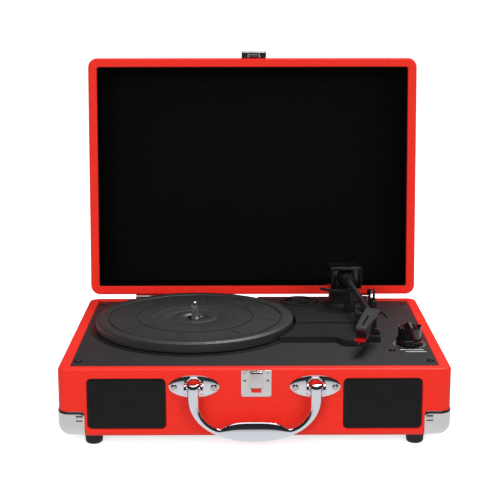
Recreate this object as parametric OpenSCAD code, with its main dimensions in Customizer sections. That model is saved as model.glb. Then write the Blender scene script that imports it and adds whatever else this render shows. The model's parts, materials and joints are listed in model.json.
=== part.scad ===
// Suitcase record player: vinyl covered wooden case, belt driven platter, pivoted tonearm.
// Millimetres, +Z up, +X to the user's right, the user stands at -Y.
// The origin is on the floor, under the middle of the player with its lid open.

/* [Case] */
// Width of the case
body_w = 355; // [345:1:380]
// Depth of the case
body_d = 257; // [250:1:275]
// Height of the base box without its feet
base_h = 64; // [62:0.5:72]
// Height of the lid when shut
lid_h = 56; // [55.5:0.5:64]
// Thickness of the covered wooden walls
wall_t = 10.5; // [9:0.5:12]
// Radius of the upright corners
corner_r = 10; // [6:0.5:14]
// How far the deck lies below the rim
deck_drop = 1; // [0.5:0.25:2]
// Angle at which the open lid rests on its stop
lid_open = 96.5; // [92:0.5:105]

/* [Feet] */
// Height of a foot
foot_h = 10; // [9:0.5:14]
// Diameter of a foot
foot_d = 16; // [14:1:20]

/* [Platter] */
// Diameter of the platter
platter_d = 198; // [195:0.5:198.5]
// Thickness of the platter's rim
platter_t = 9; // [9:0.5:11]
// Diameter of the spindle
spindle_d = 7; // [6.9:0.05:7.1]
// Height of the spindle above the platter
spindle_h = 15; // [12:1:18]

/* [Tonearm] */
// Distance from the pivot to the shoulder of the headshell
arm_len = 119.5; // [112:0.5:121]
// Angle by which the headshell turns in towards the spindle
offset_a = 27; // [20:1:30]
// Downward slope of the arm from its pivot
arm_pitch = 6.4; // [6.3:0.1:6.6]

/* [Handle] */
// Distance between the outer sides of the handle's legs
handle_w = 120; // [110:1:126]
// Thickness of the handle from front to back
handle_t = 8.5; // [7:0.5:9]

/* [Speakers] */
// Width of a speaker opening
grille_w = 71; // [66:1:74]
// Height of a speaker opening
grille_h = 47.4; // [44:0.2:48]

/* [Hidden] */
$fn = 64;
slack = 0.2;                                   // gap between pieces that drop into each other
run_fit = 0.05;                                // radial clearance of a running fit
seam_gap = 0.4;                                // between the rims of lid and base when shut

base_z = foot_h;
seam_z = base_z + base_h;
deck_t = 3;
deck_z = seam_z - deck_drop;                   // top face of the deck
deck_under = deck_z - deck_t;
front_y = -body_d / 2;
back_y = body_d / 2;
inner_w = body_w - 2 * wall_t;
inner_d = body_d - 2 * wall_t;
inner_r = 2;
bottom_t = 5;
floor_z = base_z + bottom_t;                   // upper face of the bottom panel
skin = 0.7;                                    // sheet steel of the corner guards

barrel_r = 2.5;                                // knuckles of the lid hinges
hinge_y = back_y + barrel_r + seam_gap;
hinge_z = seam_z + seam_gap / 2;
hinge_x = 110;
lid_z = seam_z + seam_gap;
lid_top = seam_z + lid_h;
lid_wall = wall_t - 1;
lid_panel = 5;
lining_t = 1.1;

// bracket, handle and latch
pivot_x = 54.4;
pivot_z = base_z + 49;
bracket_reach = 11;
pivot_y = front_y - bracket_reach;
cheek_r = 5;
pin_r = 1.5;
latch_x = 1.5;

// the middle of the whole player, lid open, from the front of the brackets to the back of the lid
front_reach = pivot_y - cheek_r;
back_reach = hinge_y - (hinge_y + body_d / 2 + skin) * cos(lid_open)
    + (lid_top + skin - hinge_z) * sin(lid_open);
mid_y = (front_reach + back_reach) / 2;

// record playing parts
platter_x = -59;
platter_y = 17.5;
platter_r = platter_d / 2;
platter_z = deck_z + 2;                        // lower edge of the platter
platter_top = platter_z + platter_t;
spindle_r = spindle_d / 2;
spindle_top = platter_top + spindle_h;
journal_r = 4;                                 // spindle inside the platter's bearing
bush_r = 6;
hub_floor = platter_top - 2.4;
clip_t = 0.8;
flange_z = deck_z + 1;                         // top of the plate's thin part, under the platter
ring_r = 68;                                   // belt track under the platter
pulley_r = 4;
pulley_out = 84;                               // pulley's distance from the spindle
pulley_a = 135;
belt_t = 0.8;
belt_gap = 0.35;
belt_z = platter_z + 1.5;
belt_h = 3;
pulley_x = platter_x + pulley_out * cos(pulley_a);
pulley_y = platter_y + pulley_out * sin(pulley_a);

band_z = deck_z + 5.5;                         // the plate's front band
plate_z = deck_z + 7;                          // the plate's main face
plate_front = -39.5;
plate_back = 111;
plate_left = 5;
plate_right = 122.5;
step_y = 8;
well_r = platter_r + 2.5;

arm_x = 95;
arm_y = 80;
arm_z = deck_z + 39;                           // height of the arm's level pivot
arm_a = -81;                                   // heading of the parked arm, from +X
tube_r = 3.2;
collar_z = plate_z + 18;                       // top of the fixed bearing tower
cue_out = 30;
cue_travel = 3;
adapter_x = 49.5;
adapter_y = 91;
adapter_r = 19;
adapter_t = 2.6;
knob_x = 149;
knob_y = -46;
jack_x = 130;
jack_y = -68;
led_x = 150;
led_y = -64;
lever_x = 118.4;
lever_y = 52;
lever_z = plate_z + 3;
rest_x = 110;
rest_y = -12;
switch_x = 119;
switch_y = -29.5;
grille_x = 115.5;
grille_z = base_z + 31.2;

// ---- places ----

// case coordinates: y = 0 at the middle of the base box
module in_case() translate([0, -mid_y, 0]) children();

// the lid is drawn shut and then swung open about its hinge
module in_lid() in_case()
    translate([0, hinge_y, hinge_z]) rotate([-lid_open, 0, 0])
        translate([0, -hinge_y, -hinge_z]) children();

module at_platter() in_case() translate([platter_x, platter_y, 0]) children();

// along the arm: +X from the pivot to the stylus, level, z = 0 at the pivot's height
module arm_place() translate([arm_x, arm_y, arm_z]) rotate([0, 0, arm_a]) children();
module at_arm() in_case() arm_place() children();

module along_arm() at_arm() rotate([0, arm_pitch, 0]) children();

// +X along the headshell from its shoulder
module along_shell() along_arm() translate([arm_len, 0, 0]) rotate([0, 0, -offset_a])
    children();

// ---- shapes ----

module round_plan(w, d, r) {
    square([w - 2 * r, d], center = true);
    square([w, d - 2 * r], center = true);
    for (x = [-1, 1], y = [-1, 1])
        translate([x * (w / 2 - r), y * (d / 2 - r)]) circle(r);
}

// a plate standing in the XZ plane, its back face at y = 0 and its front at y = -t
module upright(t) rotate([90, 0, 0]) linear_extrude(t) children();

module tube(r_out, r_in, h) difference() {
    cylinder(r = r_out, h = h);
    translate([0, 0, -1]) cylinder(r = r_in, h = h + 2);
}

// ---- case ----

post_w = 12;
post_d = 24;
baffle_t = 3;
speaker_hole_r = 24.5;
deck_screw_x = inner_w / 2 - 5.5;
deck_screw_y = [-101, 107];
deck_screw_r = 1.7;
screw_r = 1.6;                                 // wood screws of the bottom panel
jack_plate_x = -105;
jack_plate_z = base_z + 30;
jack_plate_w = 62;
jack_plate_h = 22;

module posts() for (x = [-1, 1], y = [-1, 1])
    translate([x * (inner_w - post_w) / 2, y * (inner_d - post_d) / 2, 0])
        translate([-post_w / 2, -post_d / 2, floor_z])
            cube([post_w, post_d, deck_under - floor_z]);

module baffles() for (x = [-1, 1])
    translate([x * grille_x - 38, -inner_d / 2, floor_z + slack])
        cube([76, baffle_t, deck_under - floor_z - 2]);

module at_deck_screws() for (x = [-1, 1], y = deck_screw_y) translate([x * deck_screw_x, y, 0])
    children();
module at_bottom_screws() for (x = [-1, 1], y = [-1, 1])
    translate([x * (inner_w / 2 - 6), y * (inner_d / 2 - 18), 0]) children();

module base_box() in_case() color("#e8352c") difference() {
    union() {
        difference() {
            translate([0, 0, base_z]) linear_extrude(base_h)
                round_plan(body_w, body_d, corner_r);
            translate([0, 0, base_z - 1]) linear_extrude(base_h + 2)
                round_plan(inner_w, inner_d, inner_r);
        }
        posts();
        baffles();
    }
    for (x = [-1, 1]) translate([x * grille_x, 0, grille_z]) {
        translate([0, -inner_d / 2, 0]) upright(wall_t + 1) round_plan(grille_w, grille_h, 4.5);
        translate([0, -inner_d / 2 + baffle_t + 1, 0]) upright(wall_t) circle(speaker_hole_r);
    }
    translate([jack_plate_x, back_y + 1, jack_plate_z])
        upright(wall_t + 2) square([jack_plate_w - 8, jack_plate_h - 6], center = true);
    at_deck_screws() translate([0, 0, deck_under - 10]) cylinder(r = deck_screw_r, h = 11);
    at_bottom_screws() translate([0, 0, floor_z - 1]) cylinder(r = screw_r, h = 11);
}

foot_x = 147;
foot_y = 113.5;
module at_feet() for (x = [-1, 1], y = [-1, 1]) translate([x * foot_x, y * foot_y, 0])
    children();

module base_bottom() in_case() color("#2a2a2c") difference() {
    translate([0, 0, base_z]) linear_extrude(bottom_t)
        round_plan(inner_w - slack, inner_d - slack, inner_r);
    at_bottom_screws() translate([0, 0, base_z - 1]) cylinder(r = screw_r, h = bottom_t + 2);
    at_feet() translate([0, 0, base_z - 1]) cylinder(r = 1.5, h = bottom_t - 1);
}

foot_hole = 4;                                 // depth of the recess under a foot
module feet() in_case() color("#141414") at_feet() difference() {
    rotate_extrude() {
        square([foot_d / 2 - 3, foot_h]);
        translate([0, 3]) square([foot_d / 2, foot_h - 3]);
        translate([foot_d / 2 - 3, 3]) circle(3);
    }
    translate([0, 0, -1]) cylinder(r = 3.2, h = foot_hole + 1);
    cylinder(r = 1.5, h = foot_h + 1);
}

module bottom_screws() in_case() color("#9a9a9c") {
    at_feet() {
        translate([0, 0, foot_hole - 1.8]) cylinder(r = 2.9, h = 1.8);
        translate([0, 0, foot_hole]) cylinder(r = 1.5, h = foot_h - foot_hole + 3);
    }
    at_bottom_screws() {
        translate([0, 0, base_z - 1.4]) cylinder(r = 3, h = 1.4);
        translate([0, 0, base_z]) cylinder(r = screw_r, h = bottom_t + 8);
    }
}

guard_w = 24;
guard_h = 24.5;
module guards(low, high) difference() {
    translate([0, 0, low]) linear_extrude(high - low)
        round_plan(body_w + 2 * skin, body_d + 2 * skin, corner_r + skin);
    translate([-body_w, -body_d / 2 + guard_w, low - 1])
        cube([2 * body_w, body_d - 2 * guard_w, high - low + 2]);
    translate([-body_w / 2 + guard_w, -body_d, low - 1])
        cube([body_w - 2 * guard_w, 2 * body_d, high - low + 2]);
}

module base_corners() in_case() color("#c9c9c6") difference() {
    guards(base_z - skin, base_z + guard_h);
    translate([0, 0, base_z]) linear_extrude(base_h) round_plan(body_w, body_d, corner_r);
    at_feet() translate([0, 0, base_z - 2]) cylinder(r = foot_d / 2 + 1, h = 3);
    translate([-inner_w / 2 + 12, -inner_d, base_z - 2]) cube([inner_w - 24, 2 * inner_d, 3]);
}

module grille(x) in_case() translate([x, front_y + 0.6, grille_z]) color("#101012") {
    translate([0, 1.2, 0]) upright(1.2) round_plan(grille_w - slack, grille_h - slack, 4.4);
    translate([0, wall_t - 0.6, 0]) upright(wall_t - 1.8) difference() {
        round_plan(grille_w - slack, grille_h - slack, 4.4);
        round_plan(grille_w - 4, grille_h - 4, 2.6);
    }
}
module speaker_grille_left() grille(-grille_x);
module speaker_grille_right() grille(grille_x);

speaker_y = -inner_d / 2 + baffle_t;
module at_speakers() in_case() for (x = [-1, 1])
    translate([x * grille_x, speaker_y, grille_z]) rotate([-90, 0, 0]) children();

module speaker_baskets() color("#3a3a3d") at_speakers() rotate_extrude()
    polygon([[24, 0], [26, 0], [26, 1.5], [25.2, 1.5], [15.6, 17], [15.6, 18], [6, 18],
        [6, 17], [14.2, 17], [24, 1.5]]);

module speaker_cones() color("#1a1a1a") at_speakers() rotate_extrude()
    polygon([[0, 9], [5, 9.6], [7, 11.6], [23.9, 0.2], [23.9, 1.2], [7.4, 12.6], [5.6, 16.8],
        [0, 16.8]]);

module speaker_magnets() color("#55555a") at_speakers() translate([0, 0, 18])
    cylinder(r = 15.5, h = 8);

// ---- deck ----

motor_hole_r = 20;
hole_gap = 0.1;                                // round a bushing that drops into its hole
bushing_r = 3.6;                               // threaded neck of the volume control
nose_r = 3.1;                                  // neck of the headphone socket
led_r = 1.6;
module deck_plate() in_case() color("#26282a") difference() {
    translate([0, 0, deck_under]) linear_extrude(deck_t)
        round_plan(inner_w - slack, inner_d - slack, inner_r);
    at_deck_screws() translate([0, 0, deck_under - 1]) cylinder(r = deck_screw_r, h = 6);
    translate([platter_x, platter_y, deck_under - 1]) cylinder(r = 14, h = 6);
    translate([pulley_x, pulley_y, deck_under - 1]) cylinder(r = motor_hole_r, h = 6);
    translate([60, -28, deck_under - 1]) cube([54, 130, 6]);
    translate([knob_x, knob_y, deck_under - 1]) cylinder(r = bushing_r + hole_gap, h = 6);
    translate([jack_x, jack_y, deck_under - 1]) cylinder(r = nose_r + hole_gap, h = 6);
    translate([led_x, led_y, deck_under - 1]) cylinder(r = led_r + hole_gap, h = 6);
}

module deck_screws() in_case() color("#1c1c1e") at_deck_screws() {
    difference() {
        translate([0, 0, deck_z]) cylinder(r = 3.4, h = 0.9);
        for (a = [0, 90]) rotate([0, 0, a])
            translate([-1.8, -0.4, deck_z + 0.4]) cube([3.6, 0.8, 1]);
    }
    translate([0, 0, deck_z - 11]) cylinder(r = deck_screw_r, h = 11);
}

// outline of the plate's raised part, its upright edges moved in by inset
module plate_plan(inset, front = plate_front) difference() {
    union() {
        translate([plate_left + inset, front + inset])
            square([plate_right - plate_left - 2 * inset, plate_back - front - 2 * inset]);
        if (front == plate_front) translate([94, -40.5]) circle(13 - inset);
    }
    translate([platter_x, platter_y]) circle(well_r + inset);
}

module mech_plate() in_case() color("#303033") difference() {
    union() {
        translate([0, 0, deck_z]) linear_extrude(flange_z - deck_z) intersection() {
            translate([platter_x, platter_y]) circle(well_r + 2);
            square([inner_w - 1, inner_d - 1], center = true);
        }
        translate([0, 0, deck_z]) linear_extrude(band_z - deck_z) plate_plan(0);
        translate([0, 0, band_z - 0.5]) linear_extrude(plate_z - band_z + 0.5)
            plate_plan(0, step_y);
        translate([platter_x, platter_y, deck_z - 9]) cylinder(r = 9, h = 9.5);
        translate([lever_x - 6.6, lever_y - 5, plate_z - 1]) cube([6.2, 10, 7]);
    }
    translate([0, 0, deck_z - 1]) linear_extrude(band_z - deck_z - 1) plate_plan(2);
    translate([0, 0, deck_z - 1]) linear_extrude(plate_z - deck_z - 2) plate_plan(2, step_y);
    translate([platter_x, platter_y, deck_z - 10]) cylinder(r = journal_r, h = 12);
    translate([pulley_x, pulley_y, deck_z - 1]) cylinder(r = 7, h = 4);
    translate([adapter_x, adapter_y, plate_z - 1.8]) cylinder(r = adapter_r + 1, h = 3);
    translate([lever_x - 7, lever_y, lever_z]) rotate([0, 90, 0])
        cylinder(r = pin_r + run_fit, h = 8);
    translate([switch_x - 12, switch_y - 1.3, band_z - 3]) cube([14, 2.6, 4]);
    cue_hole();
}

// hole for the cue lift's piston
module cue_hole() arm_place() translate([cue_out, 0, plate_z - arm_z - 3])
    cylinder(r = 2 + run_fit, h = 4);

journal_top = hub_floor + clip_t + 0.4;
module spindle() at_platter() color("#cfcfd2") {
    translate([0, 0, deck_z - 9]) cylinder(r = journal_r, h = journal_top - deck_z + 9);
    translate([0, 0, journal_top]) cylinder(r = spindle_r, h = spindle_top - journal_top - 2);
    translate([0, 0, spindle_top - 2]) cylinder(r1 = spindle_r, r2 = spindle_r - 1.6, h = 2);
}

module spindle_clip() at_platter() color("#d6d6d8") translate([0, 0, hub_floor + 0.3])
    difference() {
        tube(7.2, journal_r, clip_t);
        translate([0, -1.6, -1]) cube([10, 3.2, 3]);
    }

module thrust_washer() at_platter() color("#d8d4c4") translate([0, 0, flange_z])
    tube(6.5, journal_r, 0.7);

module motor() in_case() translate([pulley_x, pulley_y, 0]) color("#8d8f92") {
    difference() {
        translate([0, 0, deck_z - 28]) cylinder(r = 16, h = 26.5);
        translate([0, 0, deck_z - 27]) cylinder(r = 1.2, h = 30);
    }
    translate([0, 0, deck_z - 1.5]) tube(19.5, 3, 1.5);
}

// ---- belt drive ----

module motor_shaft() in_case() translate([pulley_x, pulley_y, 0]) color("#c0c0c4")
    translate([0, 0, deck_z - 26]) cylinder(r = 1, h = platter_top - 3.7 - deck_z + 26);

module motor_pulley() in_case() translate([pulley_x, pulley_y, 0]) color("#c9a95a")
    difference() {
        union() {
            translate([0, 0, flange_z + 0.8]) cylinder(r = pulley_r, h = 6);
            translate([0, 0, flange_z + 0.8]) cylinder(r = pulley_r + 1.5, h = 1.2);
            translate([0, 0, belt_z + belt_h + 0.4]) cylinder(r = pulley_r + 1.5, h = 0.8);
        }
        translate([0, 0, flange_z]) cylinder(r = 1, h = 8);
    }

module belt_loop(extra) hull() {
    circle(ring_r + belt_gap + extra);
    rotate([0, 0, pulley_a]) translate([pulley_out, 0]) circle(pulley_r + belt_gap + extra);
}

module drive_belt() at_platter() color("#1b1b1b") translate([0, 0, belt_z])
    linear_extrude(belt_h) difference() {
        belt_loop(belt_t);
        belt_loop(0);
    }

rib_turn = 36;                                 // heading of the first radial line
module platter() at_platter() color("#3c3c40") difference() {
    rotate_extrude() translate([0, platter_top]) polygon([
        [bush_r, -2.4], [12.5, -2.4], [14, -1], [22.5, -1], [23, -1.3], [23.5, -1],
        [38, -1], [41, -0.3], [57.5, -0.3], [58.2, -0.9], [59, -0.5], [86, -0.5],
        [86.6, -1.4], [87.8, -1.4], [88.6, 0], [96.5, 0], [97, -0.5], [platter_r - 1, -0.5],
        [platter_r, -1.5], [platter_r, -platter_t], [platter_r - 2.6, -platter_t],
        [platter_r - 2.6, -3], [ring_r, -3], [ring_r, -platter_t + 1], [ring_r - 2.5, -platter_t + 1],
        [ring_r - 2.5, -3], [12, -3.4], [12, -platter_t + 0.6], [bush_r, -platter_t + 0.6]]);
    for (k = [0:7]) rotate([0, 0, rib_turn + 45 * k])
        translate([61.5, -0.45, platter_top - 1]) cube([20.5, 0.9, 2]);
    at_pads() cylinder(r = 4, h = 3);
}

module at_pads() for (k = [0:2]) rotate([0, 0, 58 + 120 * k])
    translate([80.5, 0, platter_top - 1.3]) children();

module platter_pads() at_platter() color("#17171a") at_pads() cylinder(r = 4, h = 1.4);

module bearing_bush() at_platter() color("#c8a24a")
    translate([0, 0, platter_z + 0.6]) tube(bush_r, journal_r + run_fit, platter_t - 3);

// ---- tonearm ----

module tonearm_base() in_case() translate([arm_x, arm_y, 0]) color("#1e1e20") difference() {
    union() {
        translate([0, 0, plate_z]) cylinder(r1 = 21.5, r2 = 16.5, h = 4);
        translate([0, 0, plate_z]) cylinder(r = 15.5, h = collar_z - plate_z);
    }
    translate([0, 0, plate_z + 2]) cylinder(r = 4 + run_fit, h = 30);
}

yoke_w = 33;
yoke_wall = 2.8;
yoke_top = arm_z + 10;
yoke_low = collar_z + 0.4;
module arm_yoke() at_arm() translate([0, 0, -arm_z]) color("#222225") difference() {
    union() {
        translate([0, 0, plate_z + 2.3]) cylinder(r = 4, h = yoke_low - plate_z - 2.3);
        translate([0, 0, yoke_low]) cylinder(r = 15.5, h = 2.4);
        for (s = [-1, 1]) translate([0, s * (yoke_w - yoke_wall) / 2, yoke_low])
            rotate([90, 0, 0]) translate([0, 0, -yoke_wall / 2]) linear_extrude(yoke_wall)
                polygon([[-11, 0], [11, 0], [15, 9], [13, yoke_top - yoke_low],
                    [-8, yoke_top - yoke_low], [-14, 15], [-14, 6]]);
        translate([-8, -yoke_w / 2, yoke_top - 3]) cube([21, yoke_w, 3]);
    }
    translate([0, -yoke_w, arm_z]) rotate([-90, 0, 0]) cylinder(r = pin_r, h = 2 * yoke_w);
}

module arm_pivot_pin() at_arm() color("#b8b8bb") translate([0, -yoke_w / 2, 0])
    rotate([-90, 0, 0]) cylinder(r = pin_r, h = yoke_w);

module arm_tube() along_arm() color("#1c1c1f") difference() {
    union() {
        rotate([0, 90, 0]) cylinder(r = tube_r, h = arm_len + 2);
        translate([-10, -7, -4.6]) cube([21, 14, 9.2]);
        translate([11, 0, 0]) rotate([0, 90, 0]) cylinder(r = 6, h = 13, $fn = 6);
        translate([-17, 0, -1]) rotate([0, 90, 0]) cylinder(r = 5, h = 8);
    }
    translate([0, -10, 0]) rotate([-90, 0, 0]) cylinder(r = pin_r + run_fit, h = 20);
}

shell_len = 49;
shell_t = 3;
module headshell() along_shell() color("#4a4a4e") difference() {
    translate([0, 0, tube_r]) linear_extrude(shell_t)
        polygon([[-4, -6.5], [5, -7], [shell_len, -5], [shell_len, 5], [5, 7], [-4, 6.5]]);
    translate([14, -0.7, tube_r - 1]) cube([27, 1.4, 5]);
}

module cartridge() along_shell() color("#17171a") {
    translate([24, -5, tube_r - 9]) cube([22, 10, 9]);
    translate([4, -4, tube_r - 2.2]) cube([20, 8, 2.2]);
}

needle = [54, -8.9];                           // from the shoulder, along and below the shell
module stylus() along_shell() color("#c8201c") {
    rotate([90, 0, 0]) translate([0, 0, -4.6]) linear_extrude(9.2)
        polygon([[29, tube_r - 9.1], [47, tube_r - 9.1], [51, tube_r - 9.6], [50, -8],
            [33, -8]]);
    translate([needle[0] - 5, -0.4, -7.6]) cube([5.4, 0.8, 0.6]);
    translate([needle[0], 0, needle[1]]) cylinder(r1 = 0.15, r2 = 0.4, h = 1.8);
}

module cue_cylinder() at_arm() color("#2a2a2d") translate([cue_out, 0, plate_z - arm_z])
    tube(5.5, 2 + run_fit, 8);

cue_top = -cue_out * tan(arm_pitch) - tube_r - cue_travel - 0.5;
module cue_lift() at_arm() color("#2a2a2d") {
    translate([cue_out, 0, plate_z - arm_z - 2]) cylinder(r = 2, h = cue_top - plate_z + arm_z);
    translate([0, 0, cue_top - 2]) rotate([0, 0, -62]) rotate_extrude(angle = 76)
        translate([cue_out - 2, 0]) square([4, 2]);
}

module cue_lever() in_case() translate([lever_x, lever_y, lever_z]) color("#1b1b1e") {
    rotate([0, 90, 0]) cylinder(r = 2.6, h = 3);
    translate([-6, 0, 0]) rotate([0, 90, 0]) cylinder(r = pin_r, h = 6.5);
    translate([0.3, -1.6, 0]) cube([2.4, 3.2, 17]);
    translate([1.5, 0, 15]) cylinder(r = 2.7, h = 4);
}

rest_top = band_z + 17.5;
clip_z = band_z + 27.3;
module arm_rest() in_case() translate([rest_x, rest_y, 0]) color("#232326") difference() {
    union() {
        translate([-10, -8, band_z]) cube([20, 16, rest_top - band_z]);
        translate([5.4, -8, band_z]) cube([4.6, 16, clip_z + 2.4 - band_z]);
    }
    translate([5, -2.8, clip_z - 2.8]) cube([6, 5.6, 8]);
    translate([7.7, -9, clip_z]) rotate([-90, 0, 0]) cylinder(r = 1, h = 20);
}

module rest_clip() in_case() translate([rest_x + 7.7, rest_y, clip_z]) color("#1a1a1c") {
    translate([0, -7.6, 0]) rotate([-90, 0, 0]) cylinder(r = 1 - run_fit, h = 15.2);
    translate([0, -2.5, 0]) rotate([-90, 0, 0]) cylinder(r = 2.2, h = 5);
    translate([-1, -2.5, 0]) cube([2, 5, 13]);
}

module speed_switch() in_case() translate([switch_x, switch_y, 0]) color("#202023") {
    translate([-3.5, -3, band_z + 0.3]) cube([7, 6, 2.4]);
    translate([-2, -3, band_z + 2.6]) cube([4, 6, 2.4]);
    translate([-1.5, -1, band_z - 5]) cube([3, 2, 6]);
}

// a bent wire beside the headshell: out and up, then down
wire_r = 0.9;
module finger_lift() along_shell() color("#111113") translate([5, 7.55, tube_r + 1.4]) {
    rotate([-54, 0, 0]) cylinder(r = wire_r, h = 4.2);
    translate([0, 3.7 * sin(54), 3.7 * cos(54)]) rotate([-134, 0, 0])
        translate([0, 0, -0.8]) cylinder(r = wire_r * 0.95, h = 8.2);
}

module adapter_45() in_case() translate([adapter_x, adapter_y, plate_z - 1.6])
    color("#2b2b2e") difference() {
        cylinder(r = adapter_r, h = adapter_t);
        translate([0, 0, -1]) cylinder(r = 3.65, h = 6);
        for (k = [0:2]) rotate([0, 0, 120 * k + 20]) translate([0, 0, -1])
            rotate_extrude(angle = 62) translate([9, 0]) square([6.4, 6]);
    }

// ---- controls and electronics ----

knob_z = deck_z + 0.4;
knob_h = 18.6;
module volume_knob() in_case() translate([knob_x, knob_y, knob_z]) color("#121214") difference() {
    union() {
        cylinder(r = 12.75, h = 5.6);
        cylinder(r = 11.1, h = knob_h);
    }
    for (s = [-1, 1]) translate([s * 5.9, -20, knob_h + 5]) rotate([-90, 0, 0])
        cylinder(r = 7.4, h = 40);
    translate([0, 0, -1]) cylinder(r = 3, h = 12);
}

module knob_shaft() in_case() translate([knob_x, knob_y, 0]) color("#bdbdc0")
    translate([0, 0, deck_under - 6]) cylinder(r = 3, h = knob_z + 11 - deck_under + 6);

module volume_pot() in_case() translate([knob_x, knob_y, 0]) color("#6f7173") difference() {
    union() {
        translate([-8, -9, deck_under - 9]) cube([16, 18, 9]);
        translate([0, 0, deck_under]) cylinder(r = bushing_r, h = deck_t);
    }
    translate([0, 0, deck_under - 6.3]) cylinder(r = 3 + run_fit, h = 20);
}

jack_r = 1.8;
module headphone_socket() in_case() translate([jack_x, jack_y, 0]) color("#1d1d20")
    difference() {
        union() {
            translate([-5, -6, deck_under - 11]) cube([10, 12, 11]);
            translate([0, 0, deck_under]) cylinder(r = nose_r, h = deck_t + 0.6);
        }
        translate([0, 0, deck_under - 10]) cylinder(r = jack_r, h = 20);
    }

module power_led() in_case() translate([led_x, led_y, 0]) color("#b03030") {
    translate([0, 0, deck_under - 3]) cylinder(r = 2.4, h = 3);
    translate([0, 0, deck_under]) cylinder(r = led_r, h = deck_t + 0.3);
}

module amp_board() in_case() translate([-20, -60, floor_z]) color("#2f6b3a") {
    for (x = [4, 86], y = [4, 46]) translate([x, y, 0]) cylinder(r = 2.5, h = 6);
    translate([0, 0, 6]) cube([90, 50, 1.6]);
    for (x = [10, 26, 42]) translate([x, 14, 7.6]) cylinder(r = 4, h = 11);
    translate([56, 8, 7.6]) cube([24, 5, 16]);
    translate([56, 26, 7.6]) cube([18, 14, 4]);
}

module jack_plate() in_case() translate([jack_plate_x, back_y + 1, jack_plate_z])
    color("#161618") difference() {
        union() {
            upright(1) round_plan(jack_plate_w, jack_plate_h, 3);
            translate([0, -1, 0]) upright(5)
                square([jack_plate_w - 8.4, jack_plate_h - 6.4], center = true);
        }
        for (x = rca_x) translate([x, 1, 0]) upright(8) circle(rca_r + hole_gap);
        translate([dc_x, 1, 0]) upright(8) circle(dc_r + hole_gap);
    }
rca_x = [-19, -4];
rca_r = 4.6;                                   // shoulder in the plate
rca_shell = 4.15;
rca_l = 8.5;
dc_x = 17;
dc_r = 4.5;

module at_back(x) in_case() translate([jack_plate_x + x, back_y - 5, jack_plate_z])
    rotate([-90, 0, 0]) children();

module rca_jacks() color("#d8d8d8") for (x = rca_x) at_back(x) difference() {
    union() {
        translate([0, 0, -7]) cylinder(r = rca_r + 1, h = 7);
        cylinder(r = rca_r, h = 6.5);
        translate([0, 0, 6.5]) cylinder(r = rca_shell, h = rca_l);
    }
    translate([0, 0, 4]) cylinder(r = 1.6, h = 20);
}

module dc_inlet() color("#202022") at_back(dc_x) {
    difference() {
        translate([0, 0, -6]) cylinder(r = dc_r, h = 12.4);
        translate([0, 0, -3]) cylinder(r = 2.75, h = 20);
    }
    translate([0, 0, -3]) cylinder(r = 1.05, h = 8.4);
}

// ---- latch, handle and hinges ----

latch_w = 27.5;
latch_low = base_z + 38.4;
latch_high = seam_z - 0.9;
module latch_plate() in_case() translate([latch_x, front_y, 0]) color("#cfccc6") difference() {
    union() {
        translate([0, 0, (latch_low + latch_high) / 2]) upright(1.2)
            round_plan(latch_w, latch_high - latch_low, 2.5);
        translate([-5.9, -3.5, base_z + 46.6]) cube([11.8, 3.5, latch_high - base_z - 46.6]);
    }
    translate([0, 1, 0]) upright(4) polygon([[-5, base_z + 46.6], [5, base_z + 46.6],
        [4.2, base_z + 42.4], [-4.2, base_z + 42.4]]);
}

module bracket_plan(grow) polygon([for (k = [0:47])
    [(22.6 + grow) * cos(k * 7.5), (10.4 + grow) * sin(k * 7.5)]]);
module handle_brackets() in_case() for (x = [-pivot_x, pivot_x])
    translate([x, front_y, pivot_z]) color("#d9dde0") {
    difference() {
        translate([0, 0, -1]) upright(1.8) bracket_plan(0);
        for (s = [-1, 1]) translate([s * 17.8, 1, -1.6]) upright(4) circle(1.5);
    }
    for (s = [-1, 1]) translate([s * 7.4, 0, 0]) difference() {
        union() {
            translate([-1.2, -bracket_reach, -cheek_r]) cube([2.4, bracket_reach - 1.8, 2 * cheek_r]);
            translate([-1.2, -bracket_reach, 0]) rotate([0, 90, 0])
                cylinder(r = cheek_r, h = 2.4);
        }
        translate([-2, -bracket_reach, 0]) rotate([0, 90, 0]) cylinder(r = pin_r, h = 4);
    }
    translate([-8.6, -5.6, 6]) cube([17.2, 3.8, 2]);
    for (s = [-1, 1]) translate([s * 7.4 - 1.2, -5.6, cheek_r - 1]) cube([2.4, 3.8, 2.6]);
}

module bracket_screws() in_case() color("#c4c6c8") for (b = [-1, 1], s = [-1, 1])
    translate([b * pivot_x + s * 17.8, front_y - 1.8, pivot_z - 1.6]) {
        difference() {
            upright(1.2) circle(3.2);
            for (a = [0, 90]) translate([0, -0.6, 0]) rotate([0, a, 0])
                translate([-1.9, -1, -0.4]) cube([3.8, 1, 0.8]);
        }
        translate([0, 1.8, 0]) upright(1.8) circle(1.5);
    }

module handle_pins() in_case() color("#b9bcc0") for (b = [-1, 1])
    translate([b * pivot_x - 8.6, pivot_y, pivot_z]) rotate([0, 90, 0])
        cylinder(r = pin_r, h = 17.2);

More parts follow.
